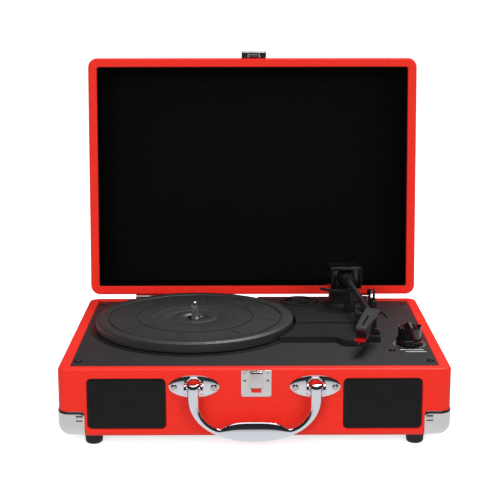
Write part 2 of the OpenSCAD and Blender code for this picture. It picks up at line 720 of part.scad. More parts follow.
// front outline of the handle; its legs end round the pivots
leg_w = 10.5;
grip_low = base_z - 0.2;
outer_drop = 42.3;
inner_low = base_z + 12.8;
bump_h = 5.7;
bump_x = 30.5;
function outer_z(x) = grip_low + outer_drop
    - outer_drop * pow(1 - pow(min(1, abs(x) / (handle_w / 2)), 2.15), 1 / 2.15);
function inner_z(x) = abs(x) < bump_x
    ? inner_low + bump_h * pow(1 - pow(abs(x) / bump_x, 3.6), 1.25)
    : inner_low + 21.2 * (1 - pow(1 - pow(min(1, (abs(x) - bump_x)
        / (handle_w / 2 - leg_w - bump_x)), 1.75), 1 / 1.75));
module handle_plan() {
    polygon(concat(
        [for (k = [-24:24]) let (x = handle_w / 2 * sin(k * 90 / 24)) [x, outer_z(x)]],
        [for (k = [24:-1:-24]) let (x = (handle_w / 2 - leg_w) * sin(k * 90 / 24))
            [x, inner_z(x)]]));
    for (s = [-1, 1]) translate([s * (handle_w - leg_w) / 2, 0])
        translate([-leg_w / 2, inner_low + 21]) square([leg_w, pivot_z - inner_low - 21]);
}

module handle() in_case() color("#dfe3e6") difference() {
    union() {
        translate([0, pivot_y + handle_t / 2, 0]) upright(handle_t) handle_plan();
        for (s = [-1, 1]) translate([s * (handle_w - leg_w) / 2 - leg_w / 2, pivot_y, pivot_z])
            rotate([0, 90, 0]) cylinder(r = handle_t / 2, h = leg_w);
    }
    translate([-handle_w, pivot_y, pivot_z]) rotate([0, 90, 0])
        cylinder(r = pin_r + run_fit, h = 2 * handle_w);
}

leaf_w = 36;
leaf_t = 1.2;
knuckle = 11;
module at_hinges() for (x = [-1, 1]) translate([x * hinge_x, 0, 0]) children();
module barrel(x0, x1) translate([x0, hinge_y, hinge_z]) rotate([0, 90, 0])
    cylinder(r = barrel_r, h = x1 - x0);
module hinge_bore() translate([-leaf_w, hinge_y, hinge_z]) rotate([0, 90, 0])
    cylinder(r = 1.2, h = 2 * leaf_w);

module hinge_base_leaves() in_case() color("#c2c4c6") at_hinges() difference() {
    union() {
        translate([-leaf_w / 2, back_y, hinge_z - 22]) cube([leaf_w, leaf_t, 21]);
        barrel(-leaf_w / 2, -knuckle / 2 - 0.3);
        barrel(knuckle / 2 + 0.3, leaf_w / 2);
    }
    hinge_bore();
    translate([-knuckle / 2 - 0.3, back_y + 0.6, hinge_z - 3.4]) cube([knuckle + 0.6, 6, 8]);
}

module hinge_pins() in_case() color("#a9abad") at_hinges()
    translate([-leaf_w / 2, hinge_y, hinge_z]) rotate([0, 90, 0])
        cylinder(r = 1.2, h = leaf_w);

module hinge_lid_leaves() in_lid() color("#c2c4c6") at_hinges() difference() {
    union() {
        translate([-leaf_w / 2, back_y, hinge_z + 1]) cube([leaf_w, leaf_t, 21]);
        barrel(-knuckle / 2, knuckle / 2);
    }
    translate([-leaf_w, hinge_y, hinge_z]) rotate([0, 90, 0])
        cylinder(r = 1.2 + run_fit, h = 2 * leaf_w);
    for (s = [-1, 1]) translate([s * (knuckle / 2 + leaf_w / 2), back_y + 3.9, hinge_z])
        cube([leaf_w, 6.6, 8], center = true);
}

// ---- lid ----

module lid_box() in_lid() color("#e8352c") difference() {
    translate([0, 0, lid_z]) linear_extrude(lid_top - lid_z)
        round_plan(body_w, body_d, corner_r);
    translate([0, 0, lid_z - 1]) linear_extrude(lid_top - lid_panel - lid_z + 1)
        round_plan(body_w - 2 * lid_wall, body_d - 2 * lid_wall, inner_r);
}

lining_z = lid_z + 2;
lining_top = lid_top - lid_panel;
module lid_lining() in_lid() color("#0c0c0e") difference() {
    translate([0, 0, lining_z]) linear_extrude(lining_top - lining_z)
        round_plan(body_w - 2 * lid_wall, body_d - 2 * lid_wall, inner_r);
    translate([0, 0, lining_z - 1]) linear_extrude(lining_top - lining_t - lining_z + 1)
        round_plan(body_w - 2 * lid_wall - 2 * lining_t, body_d - 2 * lid_wall - 2 * lining_t, 1);
}

module lid_corners() in_lid() color("#c9c9c6") difference() {
    guards(lid_top - guard_h, lid_top + skin);
    translate([0, 0, lid_z]) linear_extrude(lid_top - lid_z) round_plan(body_w, body_d, corner_r);
}

hasp_y = front_y - 4.3;
hasp_z = lid_z + 3.2;
hasp_r = 2.6;
module hasp_knuckle(x0, x1) translate([x0, hasp_y, hasp_z]) rotate([0, 90, 0])
    cylinder(r = hasp_r, h = x1 - x0);

module hasp_plate() in_lid() translate([latch_x, 0, 0]) color("#8e8f92") {
    translate([0, front_y, lid_z + 10]) upright(1.2) round_plan(26.5, 19, 2);
    for (s = [-1, 1]) {
        hasp_knuckle(s * 9.8 - 3.4, s * 9.8 + 3.4);
        translate([s * 9.8 - 3.4, hasp_y, hasp_z - hasp_r]) cube([6.8, -hasp_y + front_y - 1, 3]);
    }
    translate([-13.2, hasp_y, hasp_z]) rotate([0, 90, 0]) cylinder(r = 1, h = 26.4);
}

module hasp_lever() in_lid() translate([latch_x, 0, 0]) color("#a2a3a6") difference() {
    union() {
        hasp_knuckle(-6, 6);
        translate([-6, hasp_y + 0.8, hasp_z]) cube([12, 1.4, 18]);
    }
    translate([-20, hasp_y, hasp_z]) rotate([0, 90, 0]) cylinder(r = 1 + run_fit, h = 40);
}

base_box();
base_bottom();
bottom_screws();
feet();
base_corners();
speaker_grille_left();
speaker_grille_right();
speaker_baskets();
speaker_cones();
speaker_magnets();
deck_plate();
deck_screws();
mech_plate();
spindle();
spindle_clip();
thrust_washer();
motor();
drive_belt();
tonearm_base();
arm_rest();
cue_cylinder();
volume_pot();
headphone_socket();
power_led();
amp_board();
jack_plate();
rca_jacks();
dc_inlet();
latch_plate();
handle_brackets();
bracket_screws();
handle_pins();
hinge_base_leaves();
hinge_pins();
handle();
lid_box();
lid_lining();
lid_corners();
hinge_lid_leaves();
hasp_plate();
hasp_lever();
platter();
bearing_bush();
platter_pads();
motor_shaft();
motor_pulley();
arm_yoke();
arm_pivot_pin();
arm_tube();
headshell();
cartridge();
stylus();
finger_lift();
volume_knob();
knob_shaft();
cue_lever();
cue_lift();
rest_clip();
speed_switch();
adapter_45();
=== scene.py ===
# Suitcase record player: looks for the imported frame, in metres
import json
import math
import bmesh
import bpy
import numpy as np
from mathutils import Euler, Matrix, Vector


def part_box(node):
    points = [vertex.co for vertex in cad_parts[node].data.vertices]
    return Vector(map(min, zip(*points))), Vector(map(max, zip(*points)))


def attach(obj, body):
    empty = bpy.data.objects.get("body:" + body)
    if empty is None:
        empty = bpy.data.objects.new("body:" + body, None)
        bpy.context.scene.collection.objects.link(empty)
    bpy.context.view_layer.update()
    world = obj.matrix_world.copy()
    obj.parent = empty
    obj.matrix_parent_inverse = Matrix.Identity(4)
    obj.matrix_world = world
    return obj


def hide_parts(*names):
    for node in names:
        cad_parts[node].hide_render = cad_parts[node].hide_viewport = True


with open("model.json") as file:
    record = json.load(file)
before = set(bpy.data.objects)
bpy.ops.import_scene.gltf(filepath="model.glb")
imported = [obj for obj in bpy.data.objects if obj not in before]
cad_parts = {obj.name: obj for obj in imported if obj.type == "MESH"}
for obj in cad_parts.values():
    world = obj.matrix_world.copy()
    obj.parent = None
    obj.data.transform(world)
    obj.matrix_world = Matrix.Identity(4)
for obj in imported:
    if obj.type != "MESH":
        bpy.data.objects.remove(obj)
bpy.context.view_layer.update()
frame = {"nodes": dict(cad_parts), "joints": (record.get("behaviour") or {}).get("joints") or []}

print("frame loaded:", len(frame["nodes"]), "nodes")

# places, in millimetres, with y = 0 at the middle of the base box
millimetre = 0.001
caseMid = sum(corner.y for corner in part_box("base_box")) / 2 / millimetre
shift = np.array([0, caseMid, 0])
joints = {joint["name"]: joint for joint in frame["joints"]}


def nodePoints(node):    # every corner of a node's mesh
    mesh = frame["nodes"][node].data
    flat = np.empty(len(mesh.vertices) * 3)
    mesh.vertices.foreach_get("co", flat)
    return flat.reshape(-1, 3) / millimetre - shift


def span(node):    # lowest and highest corners at rest
    points = nodePoints(node)
    return points.min(0), points.max(0)


def jointAt(name):
    return np.array(joints[name]["pos_m"]) / millimetre - shift


def turned(points, axis, degrees, about=(0, 0, 0)):    # turns points about a main axis
    i, j = {"x": (1, 2), "y": (2, 0), "z": (0, 1)}[axis]
    c, s = math.cos(math.radians(degrees)), math.sin(math.radians(degrees))
    moved = np.array(points, float) - about
    a, b = moved[..., i].copy(), moved[..., j].copy()
    moved[..., i], moved[..., j] = c * a - s * b, s * a + c * b
    return moved + about


hingeAt = jointAt("lid_hinge")
lidOpen = joints["lid_hinge"]["range_deg"][1]


def opened(points):    # from the shut lid's place to the open one
    return turned(points, "x", -lidOpen, hingeAt)


def shutSpan(node):    # a lid node's box with the lid shut
    points = turned(nodePoints(node), "x", lidOpen, hingeAt)
    return points.min(0), points.max(0)


# mesh making
def grid(points, closeU=False, closeV=False, capStart=False, capEnd=False):
    # quads between neighbouring rows u and columns v; a cap is one face over the first or last row
    rows, columns = points.shape[:2]
    index = np.arange(rows * columns).reshape(rows, columns)
    u = np.arange(rows if closeU else rows - 1)
    v = np.arange(columns if closeV else columns - 1)
    a, b = np.meshgrid(u, v, indexing="ij")
    c, d = (a + 1) % rows, (b + 1) % columns
    quads = np.stack([index[a, b], index[c, b], index[c, d], index[a, d]], -1).reshape(-1, 4)
    faces = quads.tolist()
    if capStart:
        faces.append(index[0].tolist())
    if capEnd:
        faces.append(index[-1][::-1].tolist())
    return points.reshape(-1, 3), faces


def place(parts, move):    # the same faces with every point passed through move
    return [(move(points), faces) for points, faces in parts]


def lathe(profile, steps=64, at=(0, 0, 0), closed=False):
    # radius and height pairs turned about +Z: x = r cos a, y = r sin a
    angle = np.linspace(0, 2 * np.pi, steps, endpoint=False)
    r, z = np.array(profile, float).T
    points = np.stack([np.outer(r, np.cos(angle)), np.outer(r, np.sin(angle)),
                       np.repeat(z[:, None], steps, 1)], -1)
    return grid(points + at, closeU=closed, closeV=True)


def bend(start, centre, end, steps=5):    # a quarter turn from start to end round its own corner
    t = np.linspace(0, np.pi / 2, steps + 1)
    start, centre, end = (np.array(p, float) for p in (start, centre, end))
    return centre + np.outer(np.cos(t), start - centre) + np.outer(np.sin(t), end - centre)


def softOutline(corners, radius, steps=5):    # a polygon whose corners are rounded by a parabola
    corner = np.array(corners, float)
    before = np.roll(corner, 1, 0) - corner
    after = np.roll(corner, -1, 0) - corner
    reach = np.broadcast_to(np.array(radius, float).reshape(-1, 1), (len(corner), 1))
    start = corner + before / np.linalg.norm(before, axis=1)[:, None] * reach
    end = corner + after / np.linalg.norm(after, axis=1)[:, None] * reach
    t = np.linspace(0, 1, steps + 1)[None, :, None]
    curve = (1 - t) ** 2 * start[:, None] + 2 * t * (1 - t) * corner[:, None] + t ** 2 * end[:, None]
    return curve.reshape(-1, 2)


def rectangle(x0, z0, x1, z1):
    return [(x0, z0), (x1, z0), (x1, z1), (x0, z1)]


def slab(outline, thickness, edge, back=0):
    # an outline in x and y carried up z, its upper edge rounded: inset e(1 - sin t), height e(1 - cos t)
    outline = np.array(outline, float)
    tangent = np.roll(outline, -1, 0) - np.roll(outline, 1, 0)
    inward = np.stack([-tangent[:, 1], tangent[:, 0]], 1)
    inward /= np.linalg.norm(inward, axis=1)[:, None]
    t = np.linspace(0, np.pi / 2, 5)
    inset = np.concatenate([[0], edge * (1 - np.cos(t))])
    height = np.concatenate([[0], thickness - edge + edge * np.sin(t)]) + back
    flat = outline[None] + inward[None] * inset[:, None, None]
    points = np.concatenate([flat, np.broadcast_to(height[:, None, None], flat.shape[:2] + (1,))], 2)
    return grid(points, closeV=True, capStart=True, capEnd=True)


# how far along a straight side its extra points lie: close together near the corners
sideShares = np.array([0.01, 0.02, 0.03, 0.04, 0.052, 0.066, 0.085, 0.12, 0.2, 0.3, 0.4])
sideShares = np.concatenate([sideShares, [0.5], 1 - sideShares[::-1]])


def ringPath(arcSteps=9, shares=sideShares):
    # samples round a rounded rectangle: corner, angle, next corner, its angle and the share between
    rows = []
    for k in range(4):
        start = 90 * k - 90
        rows += [(k, start + a, k, start + a, 0) for a in np.linspace(0, 90, arcSteps + 1)]
        rows += [(k, start + 90, (k + 1) % 4, start + 90, s) for s in shares]
    k1, a1, k2, a2, share = np.array(rows).T
    signs = [(np.where(k < 2, 1, -1), np.where((k == 1) | (k == 2), 1, -1)) for k in (k1, k2)]
    return signs[0], np.radians(a1), signs[1], np.radians(a2), share


def ringAt(path, halfWide, halfDeep, radius):
    # x and y of a rounded rectangle at every sample of the path, for rows of sizes at once
    (sx1, sy1), a1, (sx2, sy2), a2, share = path
    wide, deep, r = (np.asarray(v, float).reshape(-1, 1) for v in (halfWide, halfDeep, radius))
    x1, y1 = sx1 * (wide - r) + r * np.cos(a1), sy1 * (deep - r) + r * np.sin(a1)
    x2, y2 = sx2 * (wide - r) + r * np.cos(a2), sy2 * (deep - r) + r * np.sin(a2)
    return x1 + (x2 - x1) * share, y1 + (y2 - y1) * share


def merged(parts):    # one list of points and faces from several
    points, faces, count = [], [], 0
    for more, moreFaces in parts:
        points.append(np.asarray(more, float))
        faces += [[i + count for i in face] for face in moreFaces]
        count += len(more)
    return np.concatenate(points), faces


def cleaned(mesh, recalculate=True, flat=False):    # merges doubles, then turns the faces outwards
    work = bmesh.new()
    work.from_mesh(mesh)
    bmesh.ops.remove_doubles(work, verts=work.verts, dist=2e-6)
    bmesh.ops.dissolve_degenerate(work, edges=work.edges, dist=1e-7)
    if flat:
        bmesh.ops.dissolve_limit(work, angle_limit=math.radians(1), verts=work.verts, edges=work.edges)
    if recalculate:
        bmesh.ops.recalc_face_normals(work, faces=work.faces)
    work.to_mesh(mesh)
    work.free()


def smoothed(mesh, angle=32):
    mesh.polygons.foreach_set("use_smooth", np.ones(len(mesh.polygons), bool))
    mesh.set_sharp_from_angle(angle=math.radians(angle))


def bareObject(name, parts):
    points, faces = merged(parts)
    mesh = bpy.data.meshes.new(name)
    mesh.from_pydata(((points + shift) * millimetre).tolist(), [], faces)
    mesh.validate()
    cleaned(mesh)
    piece = bpy.data.objects.new(name, mesh)
    bpy.context.scene.collection.objects.link(piece)
    return piece


def applied(piece):    # keeps the mesh that the modifiers give, and drops them
    bpy.context.view_layer.update()
    shaped = bpy.data.meshes.new_from_object(piece.evaluated_get(bpy.context.evaluated_depsgraph_get()))
    piece.modifiers.clear()
    piece.data = shaped


def finishPiece(piece, body, material, replaces=(), angle=32):
    if angle:
        smoothed(piece.data, angle)
    piece.data.materials.clear()
    piece.data.materials.append(material)
    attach(piece, body)
    if replaces:
        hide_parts(*replaces)
    return piece


def makePiece(name, parts, body, material, replaces=(), angle=32, cutters=()):
    piece = bareObject(name, parts)
    for number, cutterParts in enumerate(cutters):
        cutter = bareObject("%s_cutter_%d" % (name, number), cutterParts)
        carve = piece.modifiers.new("carve", "BOOLEAN")
        carve.object, carve.operation, carve.solver = cutter, "DIFFERENCE", "EXACT"
        applied(piece)
        bpy.data.objects.remove(cutter)
    return finishPiece(piece, body, material, replaces, angle)


def easedCopy(name, node, body, material, edge=0.35, steps=2):
    # a node's own shape with its sharp edges rounded off, its large faces kept flat in the shading
    mesh = frame["nodes"][node].data.copy()
    cleaned(mesh, recalculate=False, flat=True)
    smoothed(mesh, 35)
    piece = bpy.data.objects.new(name, mesh)
    bpy.context.scene.collection.objects.link(piece)
    round_ = piece.modifiers.new("edges", "BEVEL")
    round_.width, round_.segments, round_.limit_method = edge * millimetre, steps, "ANGLE"
    round_.angle_limit, round_.miter_outer = math.radians(35), "MITER_ARC"
    even = piece.modifiers.new("even", "WEIGHTED_NORMAL")
    even.keep_sharp, even.weight = True, 100
    applied(piece)
    return finishPiece(piece, body, material, (node,), angle=0)


# finishes
def socket(node, *names):
    return next(node.inputs[name] for name in names if name in node.inputs)


def finish(name, color, roughness, metallic=0.0, tint=0.08, tintScale=60, roughSpread=0.05,
           grain=(), coat=0.0, specular=0.5, stretch=(1, 1, 1)):
    # colour and roughness wander with soft noise, and grain is a list of bump layers (kind, scale, depth)
    material = bpy.data.materials.new(name)
    material.use_nodes = True
    nodes, links = material.node_tree.nodes, material.node_tree.links
    shader = nodes["Principled BSDF"]
    where = nodes.new("ShaderNodeTexCoord").outputs["Object"]
    mapped = nodes.new("ShaderNodeMapping")
    mapped.inputs["Scale"].default_value = stretch
    links.new(where, mapped.inputs["Vector"])
    noise = nodes.new("ShaderNodeTexNoise")
    noise.inputs["Scale"].default_value = tintScale
    noise.inputs["Detail"].default_value = 4
    links.new(mapped.outputs[0], noise.inputs["Vector"])
    shades = nodes.new("ShaderNodeValToRGB")
    dark = [c * (1 - tint) for c in color]
    light = [min(1, c * (1 + tint)) for c in color]
    shades.color_ramp.elements[0].position, shades.color_ramp.elements[1].position = 0.3, 0.7
    shades.color_ramp.elements[0].color = (*dark, 1)
    shades.color_ramp.elements[1].color = (*light, 1)
    links.new(noise.outputs["Fac"], shades.inputs["Fac"])
    links.new(shades.outputs["Color"], shader.inputs["Base Color"])
    fine = nodes.new("ShaderNodeTexNoise")
    fine.inputs["Scale"].default_value = tintScale * 6
    links.new(mapped.outputs[0], fine.inputs["Vector"])
    spread = nodes.new("ShaderNodeMapRange")
    spread.inputs["To Min"].default_value = max(0.02, roughness - roughSpread)
    spread.inputs["To Max"].default_value = min(1, roughness + roughSpread)
    links.new(fine.outputs["Fac"], spread.inputs["Value"])
    links.new(spread.outputs["Result"], shader.inputs["Roughness"])
    last = None
    for kind, scale, depth in grain:
        texture = nodes.new("ShaderNodeTexVoronoi" if kind == "cells" else "ShaderNodeTexNoise")
        texture.inputs["Scale"].default_value = scale
        if kind == "cells":
            texture.feature = "SMOOTH_F1"
        links.new(mapped.outputs[0], texture.inputs["Vector"])
        bump = nodes.new("ShaderNodeBump")
        bump.inputs["Strength"].default_value = 1
        bump.inputs["Distance"].default_value = depth * millimetre
        links.new(texture.outputs["Distance" if kind == "cells" else "Fac"], bump.inputs["Height"])
        if last:
            links.new(last.outputs["Normal"], bump.inputs["Normal"])
        last = bump
    if last:
        links.new(last.outputs["Normal"], shader.inputs["Normal"])
    shader.inputs["Metallic"].default_value = metallic
    socket(shader, "Coat Weight", "Coat").default_value = coat
    shader.inputs["Coat Roughness"].default_value = 0.1
    socket(shader, "Specular IOR Level", "Specular").default_value = specular
    return material


vinylColor = (0.88, 0.026, 0.014)
vinylGrain = [("cells", 1150, 0.09), ("noise", 2600, 0.05)]
red = finish("red_leatherette", vinylColor, 0.45, tint=0.05, tintScale=500, grain=vinylGrain, specular=0.3)
deckVinyl = finish("deck_leatherette", (0.018, 0.018, 0.020), 0.5, tint=0.2, tintScale=700,
                   grain=[("cells", 1300, 0.06), ("noise", 3000, 0.03)])
flock = finish("flock", (0.0042, 0.0042, 0.0046), 0.95, tint=0.25, tintScale=900,
               grain=[("noise", 3200, 0.05)], specular=0.05)
chrome = finish("chrome", (0.84, 0.86, 0.89), 0.05, metallic=1, tint=0.01, roughSpread=0.02)
nickel = finish("nickel", (0.80, 0.78, 0.75), 0.2, metallic=1, tint=0.03, roughSpread=0.06,
                grain=[("noise", 900, 0.006)])
# nickel darkened into painted shade: a shaded copy of the latch's nickel, used on the hasp
shadedNickel = finish("shaded_nickel", (0.36, 0.36, 0.37), 0.22, metallic=1, tint=0.06)
blackPlastic = finish("black_plastic", (0.011, 0.011, 0.012), 0.42, tint=0.12, grain=[("noise", 2400, 0.012)])
platePlastic = finish("plate_plastic", (0.018, 0.018, 0.019), 0.36, tint=0.12, grain=[("noise", 2600, 0.014)])
platterPlastic = finish("platter_plastic", (0.026, 0.026, 0.028), 0.42, tint=0.06, tintScale=25, specular=0.9,
                        grain=[("noise", 2200, 0.008)])
shellGrey = finish("shell_grey", (0.032, 0.032, 0.034), 0.36, tint=0.06, grain=[("noise", 2000, 0.008)])
glossBlack = finish("gloss_black", (0.006, 0.006, 0.007), 0.12, tint=0.1, coat=0.6, roughSpread=0.03)
rubber = finish("black_rubber", (0.012, 0.012, 0.013), 0.7, tint=0.2, grain=[("noise", 1500, 0.03)])
meshBlack = finish("black_mesh", (0.006, 0.006, 0.0065), 0.45, tint=0.15, specular=0.4)
steel = finish("turned_steel", (0.72, 0.72, 0.73), 0.32, metallic=1, tint=0.04, stretch=(1, 1, 12))
brass = finish("brass", (0.76, 0.56, 0.25), 0.26, metallic=1, tint=0.06)
nylon = finish("nylon", (0.72, 0.70, 0.62), 0.5, tint=0.04)
conePaper = finish("cone_paper", (0.03, 0.03, 0.03), 0.9, tint=0.3, grain=[("noise", 1400, 0.06)])
ferrite = finish("ferrite", (0.12, 0.12, 0.13), 0.5, tint=0.1)
boardGreen = finish("board_green", (0.03, 0.16, 0.06), 0.3, tint=0.12, coat=0.3)
stylusRed = finish("stylus_red", (0.70, 0.012, 0.010), 0.25, tint=0.05, coat=0.3)
ledRed = finish("led_red", (0.12, 0.01, 0.01), 0.25, tint=0.05, coat=0.4)
fibreboard = finish("fibreboard", (0.045, 0.043, 0.041), 0.85, tint=0.3, tintScale=120,
                    grain=[("noise", 900, 0.08)])
printWhite = finish("white_print", (0.9, 0.9, 0.9), 0.5, tint=0.03)
print("finishes ready")

# case shells
caseLow, caseHigh = span("base_box")
halfWide, halfDeep = caseHigh[0], caseHigh[1]
baseZ, seamZ = caseLow[2], caseHigh[2]
shutLow, shutHigh = shutSpan("lid_box")
lidZ, lidTop = shutLow[2], shutHigh[2]
liningLow, liningHigh = shutSpan("lid_lining")
lidWall, baseWall = halfWide - liningHigh[0], halfWide - span("base_bottom")[1][0]

case = {
    "cornerRadius": 10, "innerRadius": 2, "rimEdge": 2.6, "innerEdge": 0.9,
    "lowEdge": 5.5, "cornerEdge": 11.5, "guardWide": 24, "guardHigh": 24.5, "skin": 0.7,
}
ring = ringPath()


def edgeRadius(away):
    # the low edge is rounder under the corner guards: a smooth step from 9 to 16 mm along the side
    t = np.clip((away - 9) / 7, 0, 1)
    return case["cornerEdge"] + (case["lowEdge"] - case["cornerEdge"]) * t * t * (3 - 2 * t)


def awayFromCorner(wide, deep):    # distance of every ring sample from the nearest corner arc
    (sx1, sy1), a1, (sx2, sy2), a2, share = ring
    length = np.where(sy1 == sy2, 2 * (wide - case["cornerRadius"]), 2 * (deep - case["cornerRadius"]))
    return np.minimum(share, 1 - share) * length


def shell(profile, lowZ, up):
    # rings of a rounded rectangle: each row has an inset and a height, the low edge a wandering radius
    radius = edgeRadius(awayFromCorner(halfWide, halfDeep))[None]
    t = np.linspace(0, np.pi / 2, 8)[:, None]
    lowInset, lowHeight = radius * (1 - np.cos(t)), radius * (1 - np.sin(t))
    inset = [np.broadcast_to(s, radius.shape) for s, z in profile[0]] + [lowInset]
    height = [np.broadcast_to(z, radius.shape) for s, z in profile[0]] + [lowZ + up * lowHeight]
    inset += [np.broadcast_to(s, radius.shape) for s, z in profile[1]]
    height += [np.broadcast_to(z, radius.shape) for s, z in profile[1]]
    inset, height = np.concatenate(inset), np.concatenate(height)
    corner = np.maximum(case["cornerRadius"] - inset, case["innerRadius"])
    (sx1, sy1), a1, (sx2, sy2), a2, share = ring
    wide, deep = halfWide - inset, halfDeep - inset
    x1, y1 = sx1 * (wide - corner) + corner * np.cos(a1), sy1 * (deep - corner) + corner * np.sin(a1)
    x2, y2 = sx2 * (wide - corner) + corner * np.cos(a2), sy2 * (deep - corner) + corner * np.sin(a2)
    return np.stack([x1 + (x2 - x1) * share, y1 + (y2 - y1) * share, height], -1)


def rimProfile(wall, rimZ, up):    # from the inner face over the rim to the outer face
    inner, outer = case["innerEdge"], case["rimEdge"]
    over = bend((wall, rimZ - up * inner), (wall - inner, rimZ - up * inner), (wall - inner, rimZ))
    across = [(s, rimZ) for s in np.linspace(wall - inner, outer, 5)[1:-1]]
    down = bend((outer, rimZ), (outer, rimZ - up * outer), (0, rimZ - up * outer), 7)
    return [*map(tuple, over), *across, *map(tuple, down)]


def upright(points):    # a drawing in x and z, its thickness towards the user
    return np.stack([points[..., 0], -points[..., 2], points[..., 1]], -1)


# base: a closed section carried round the case, with its two speaker openings cut and lined
grilleLow, grilleHigh = span("speaker_grille_left")
speaker = {
    "x": -(grilleLow[0] + grilleHigh[0]) / 2, "z": (grilleLow[2] + grilleHigh[2]) / 2,
    "halfWide": (grilleHigh[0] - grilleLow[0]) / 2 + 0.1,
    "halfHigh": (grilleHigh[2] - grilleLow[2]) / 2 + 0.1,
    "radius": 4.5, "turnIn": 1.6,
}


def openingRing(grow, radius):    # round the speaker opening, grown outwards
    path = ringPath(6, np.array([0.5]))
    x, z = ringAt(path, np.array(speaker["halfWide"] + grow), np.array(speaker["halfHigh"] + grow), radius)
    return np.stack([x, z], -1)


def speakerHole(side):    # a block through the front wall, as wide as the opening and its turned edge
    grow = speaker["turnIn"]
    outline = openingRing(grow, speaker["radius"] + grow)[0]
    points = np.stack([np.concatenate([outline, np.full((len(outline), 1), y)], 1) for y in (-5, 20)])
    parts = [grid(points, closeV=True, capStart=True, capEnd=True)]
    return place(parts, lambda p: upright(p) * (1, -1, 1) + (side * speaker["x"], -halfDeep, speaker["z"]))


def turnedIn(side):    # the covering's edge: a quarter round into the opening, then straight back
    grow = speaker["turnIn"]
    lip = bend((grow, 0), (grow, grow), (0, grow), 6)
    section = np.array([*lip, (0, 8.0), (grow, 8.0)])
    flat = np.stack([openingRing(g, speaker["radius"] + g)[0] for g, _ in section])
    points = np.stack([flat[..., 0], np.broadcast_to(section[:, 1:], flat.shape[:2]), flat[..., 1]], -1)
    return grid(points + (side * speaker["x"], -halfDeep, speaker["z"]), closeU=True, closeV=True)


walls = shell((rimProfile(baseWall, seamZ, 1), [(baseWall, baseZ)]), baseZ, 1)
makePiece("base_shell", [grid(walls, closeU=True, closeV=True)], "case", red, ("base_box",),
          cutters=(speakerHole(-1), speakerHole(1)))
makePiece("grille_turnings", [turnedIn(-1), turnedIn(1)], "case", red)

# lid: rings from the middle of its top over the rim to its ceiling, drawn shut and then opened
lidRings = shell((rimProfile(lidWall, lidZ, -1), []), lidTop, -1)
ceiling = shell(([(lidWall, liningHigh[2])], []), lidTop, -1)[:1]
lidRings = np.concatenate([ceiling, lidRings])
lidRings[0, :, 2] = liningHigh[2]
makePiece("lid_shell", place([grid(lidRings, closeV=True, capStart=True, capEnd=True)], opened),
          "lid", red, ("lid_box",))
print("shells ready")

# inside the case
inside = {"postWide": 12, "postDeep": 24, "boardHalf": 38, "boardThick": 3, "speakerHole": 24.5,
          "liningThick": 1.1, "liningBend": 3, "liningReach": 9, "liningCorner": 2.5}


def block(low, high, edge=0.5):    # a plain block with its upper edges rounded
    outline = softOutline(rectangle(low[0], low[1], high[0], high[1]), edge, 2)
    return place([slab(outline, high[2] - low[2], edge)], lambda p: p + (0, 0, low[2]))


innerWide, innerDeep = span("base_bottom")[1][:2]
floorZ, deckUnder = span("base_bottom")[1][2], span("deck_plate")[0][2]
blocks = []
for x in (-1, 1):
    for y in (-1, 1):
        lowX, highX = sorted((x * (innerWide - inside["postWide"]), x * innerWide))
        lowY, highY = sorted((y * (innerDeep - inside["postDeep"]), y * innerDeep))
        blocks += block((lowX, lowY, floorZ), (highX, highY, deckUnder))
makePiece("corner_blocks", blocks, "case", fibreboard)


def behindFront(parts, side):    # from a drawing to the inner face of the front wall, at one speaker
    return place(parts, lambda p: upright(p) * (1, -1, 1) + (side * speaker["x"], -innerDeep, speaker["z"]))


half, hole = inside["boardHalf"], inside["speakerHole"]
board = rectangle(-half, floorZ - speaker["z"] + 0.3, half, deckUnder - speaker["z"] - 2)
for side, name in ((-1, "left"), (1, "right")):
    baffle = behindFront([slab(softOutline(board, 1), inside["boardThick"], 0.4)], side)
    opening = behindFront([lathe([(0, -2), (hole, -2), (hole, 6), (0, 6)], 48)], side)
    makePiece("baffle_" + name, baffle, "case", fibreboard, cutters=(opening,))

# lid lining: one flocked skin, rounded where walls and ceiling meet
wideLining, deepLining, ceilingZ = liningHigh - inside["liningThick"]
soft, reach = inside["liningBend"], inside["liningReach"]
liningBend = bend((0, ceilingZ - soft), (soft, ceilingZ - soft), (soft, ceilingZ), 5)
liningInner = np.array([(0, liningLow[2]), (0, lidZ + 20), *liningBend, (reach, ceilingZ)])
liningSkin = np.array([(reach, liningHigh[2]), (-1, liningHigh[2]), (-1, liningLow[2])])
liningRows = np.concatenate([liningSkin, liningInner])
inward = liningRows[:, 0]
x, y = ringAt(ring, wideLining - inward, deepLining - inward,
              np.maximum(inside["liningCorner"] - np.maximum(inward, 0), 0.5))
liningPoints = np.stack([x, y, np.broadcast_to(liningRows[:, 1:], x.shape)], -1)
makePiece("lining", place([grid(liningPoints, closeV=True, capStart=True, capEnd=True)], opened),
          "lid", flock, ("lid_lining",))

# speaker grilles: perforated sheet in a pressed frame
mesh = {"pitch": 1.72, "hole": 0.58, "sheet": 0.5, "frame": 2.0, "setBack": 1.2, "inFrame": 1.4}


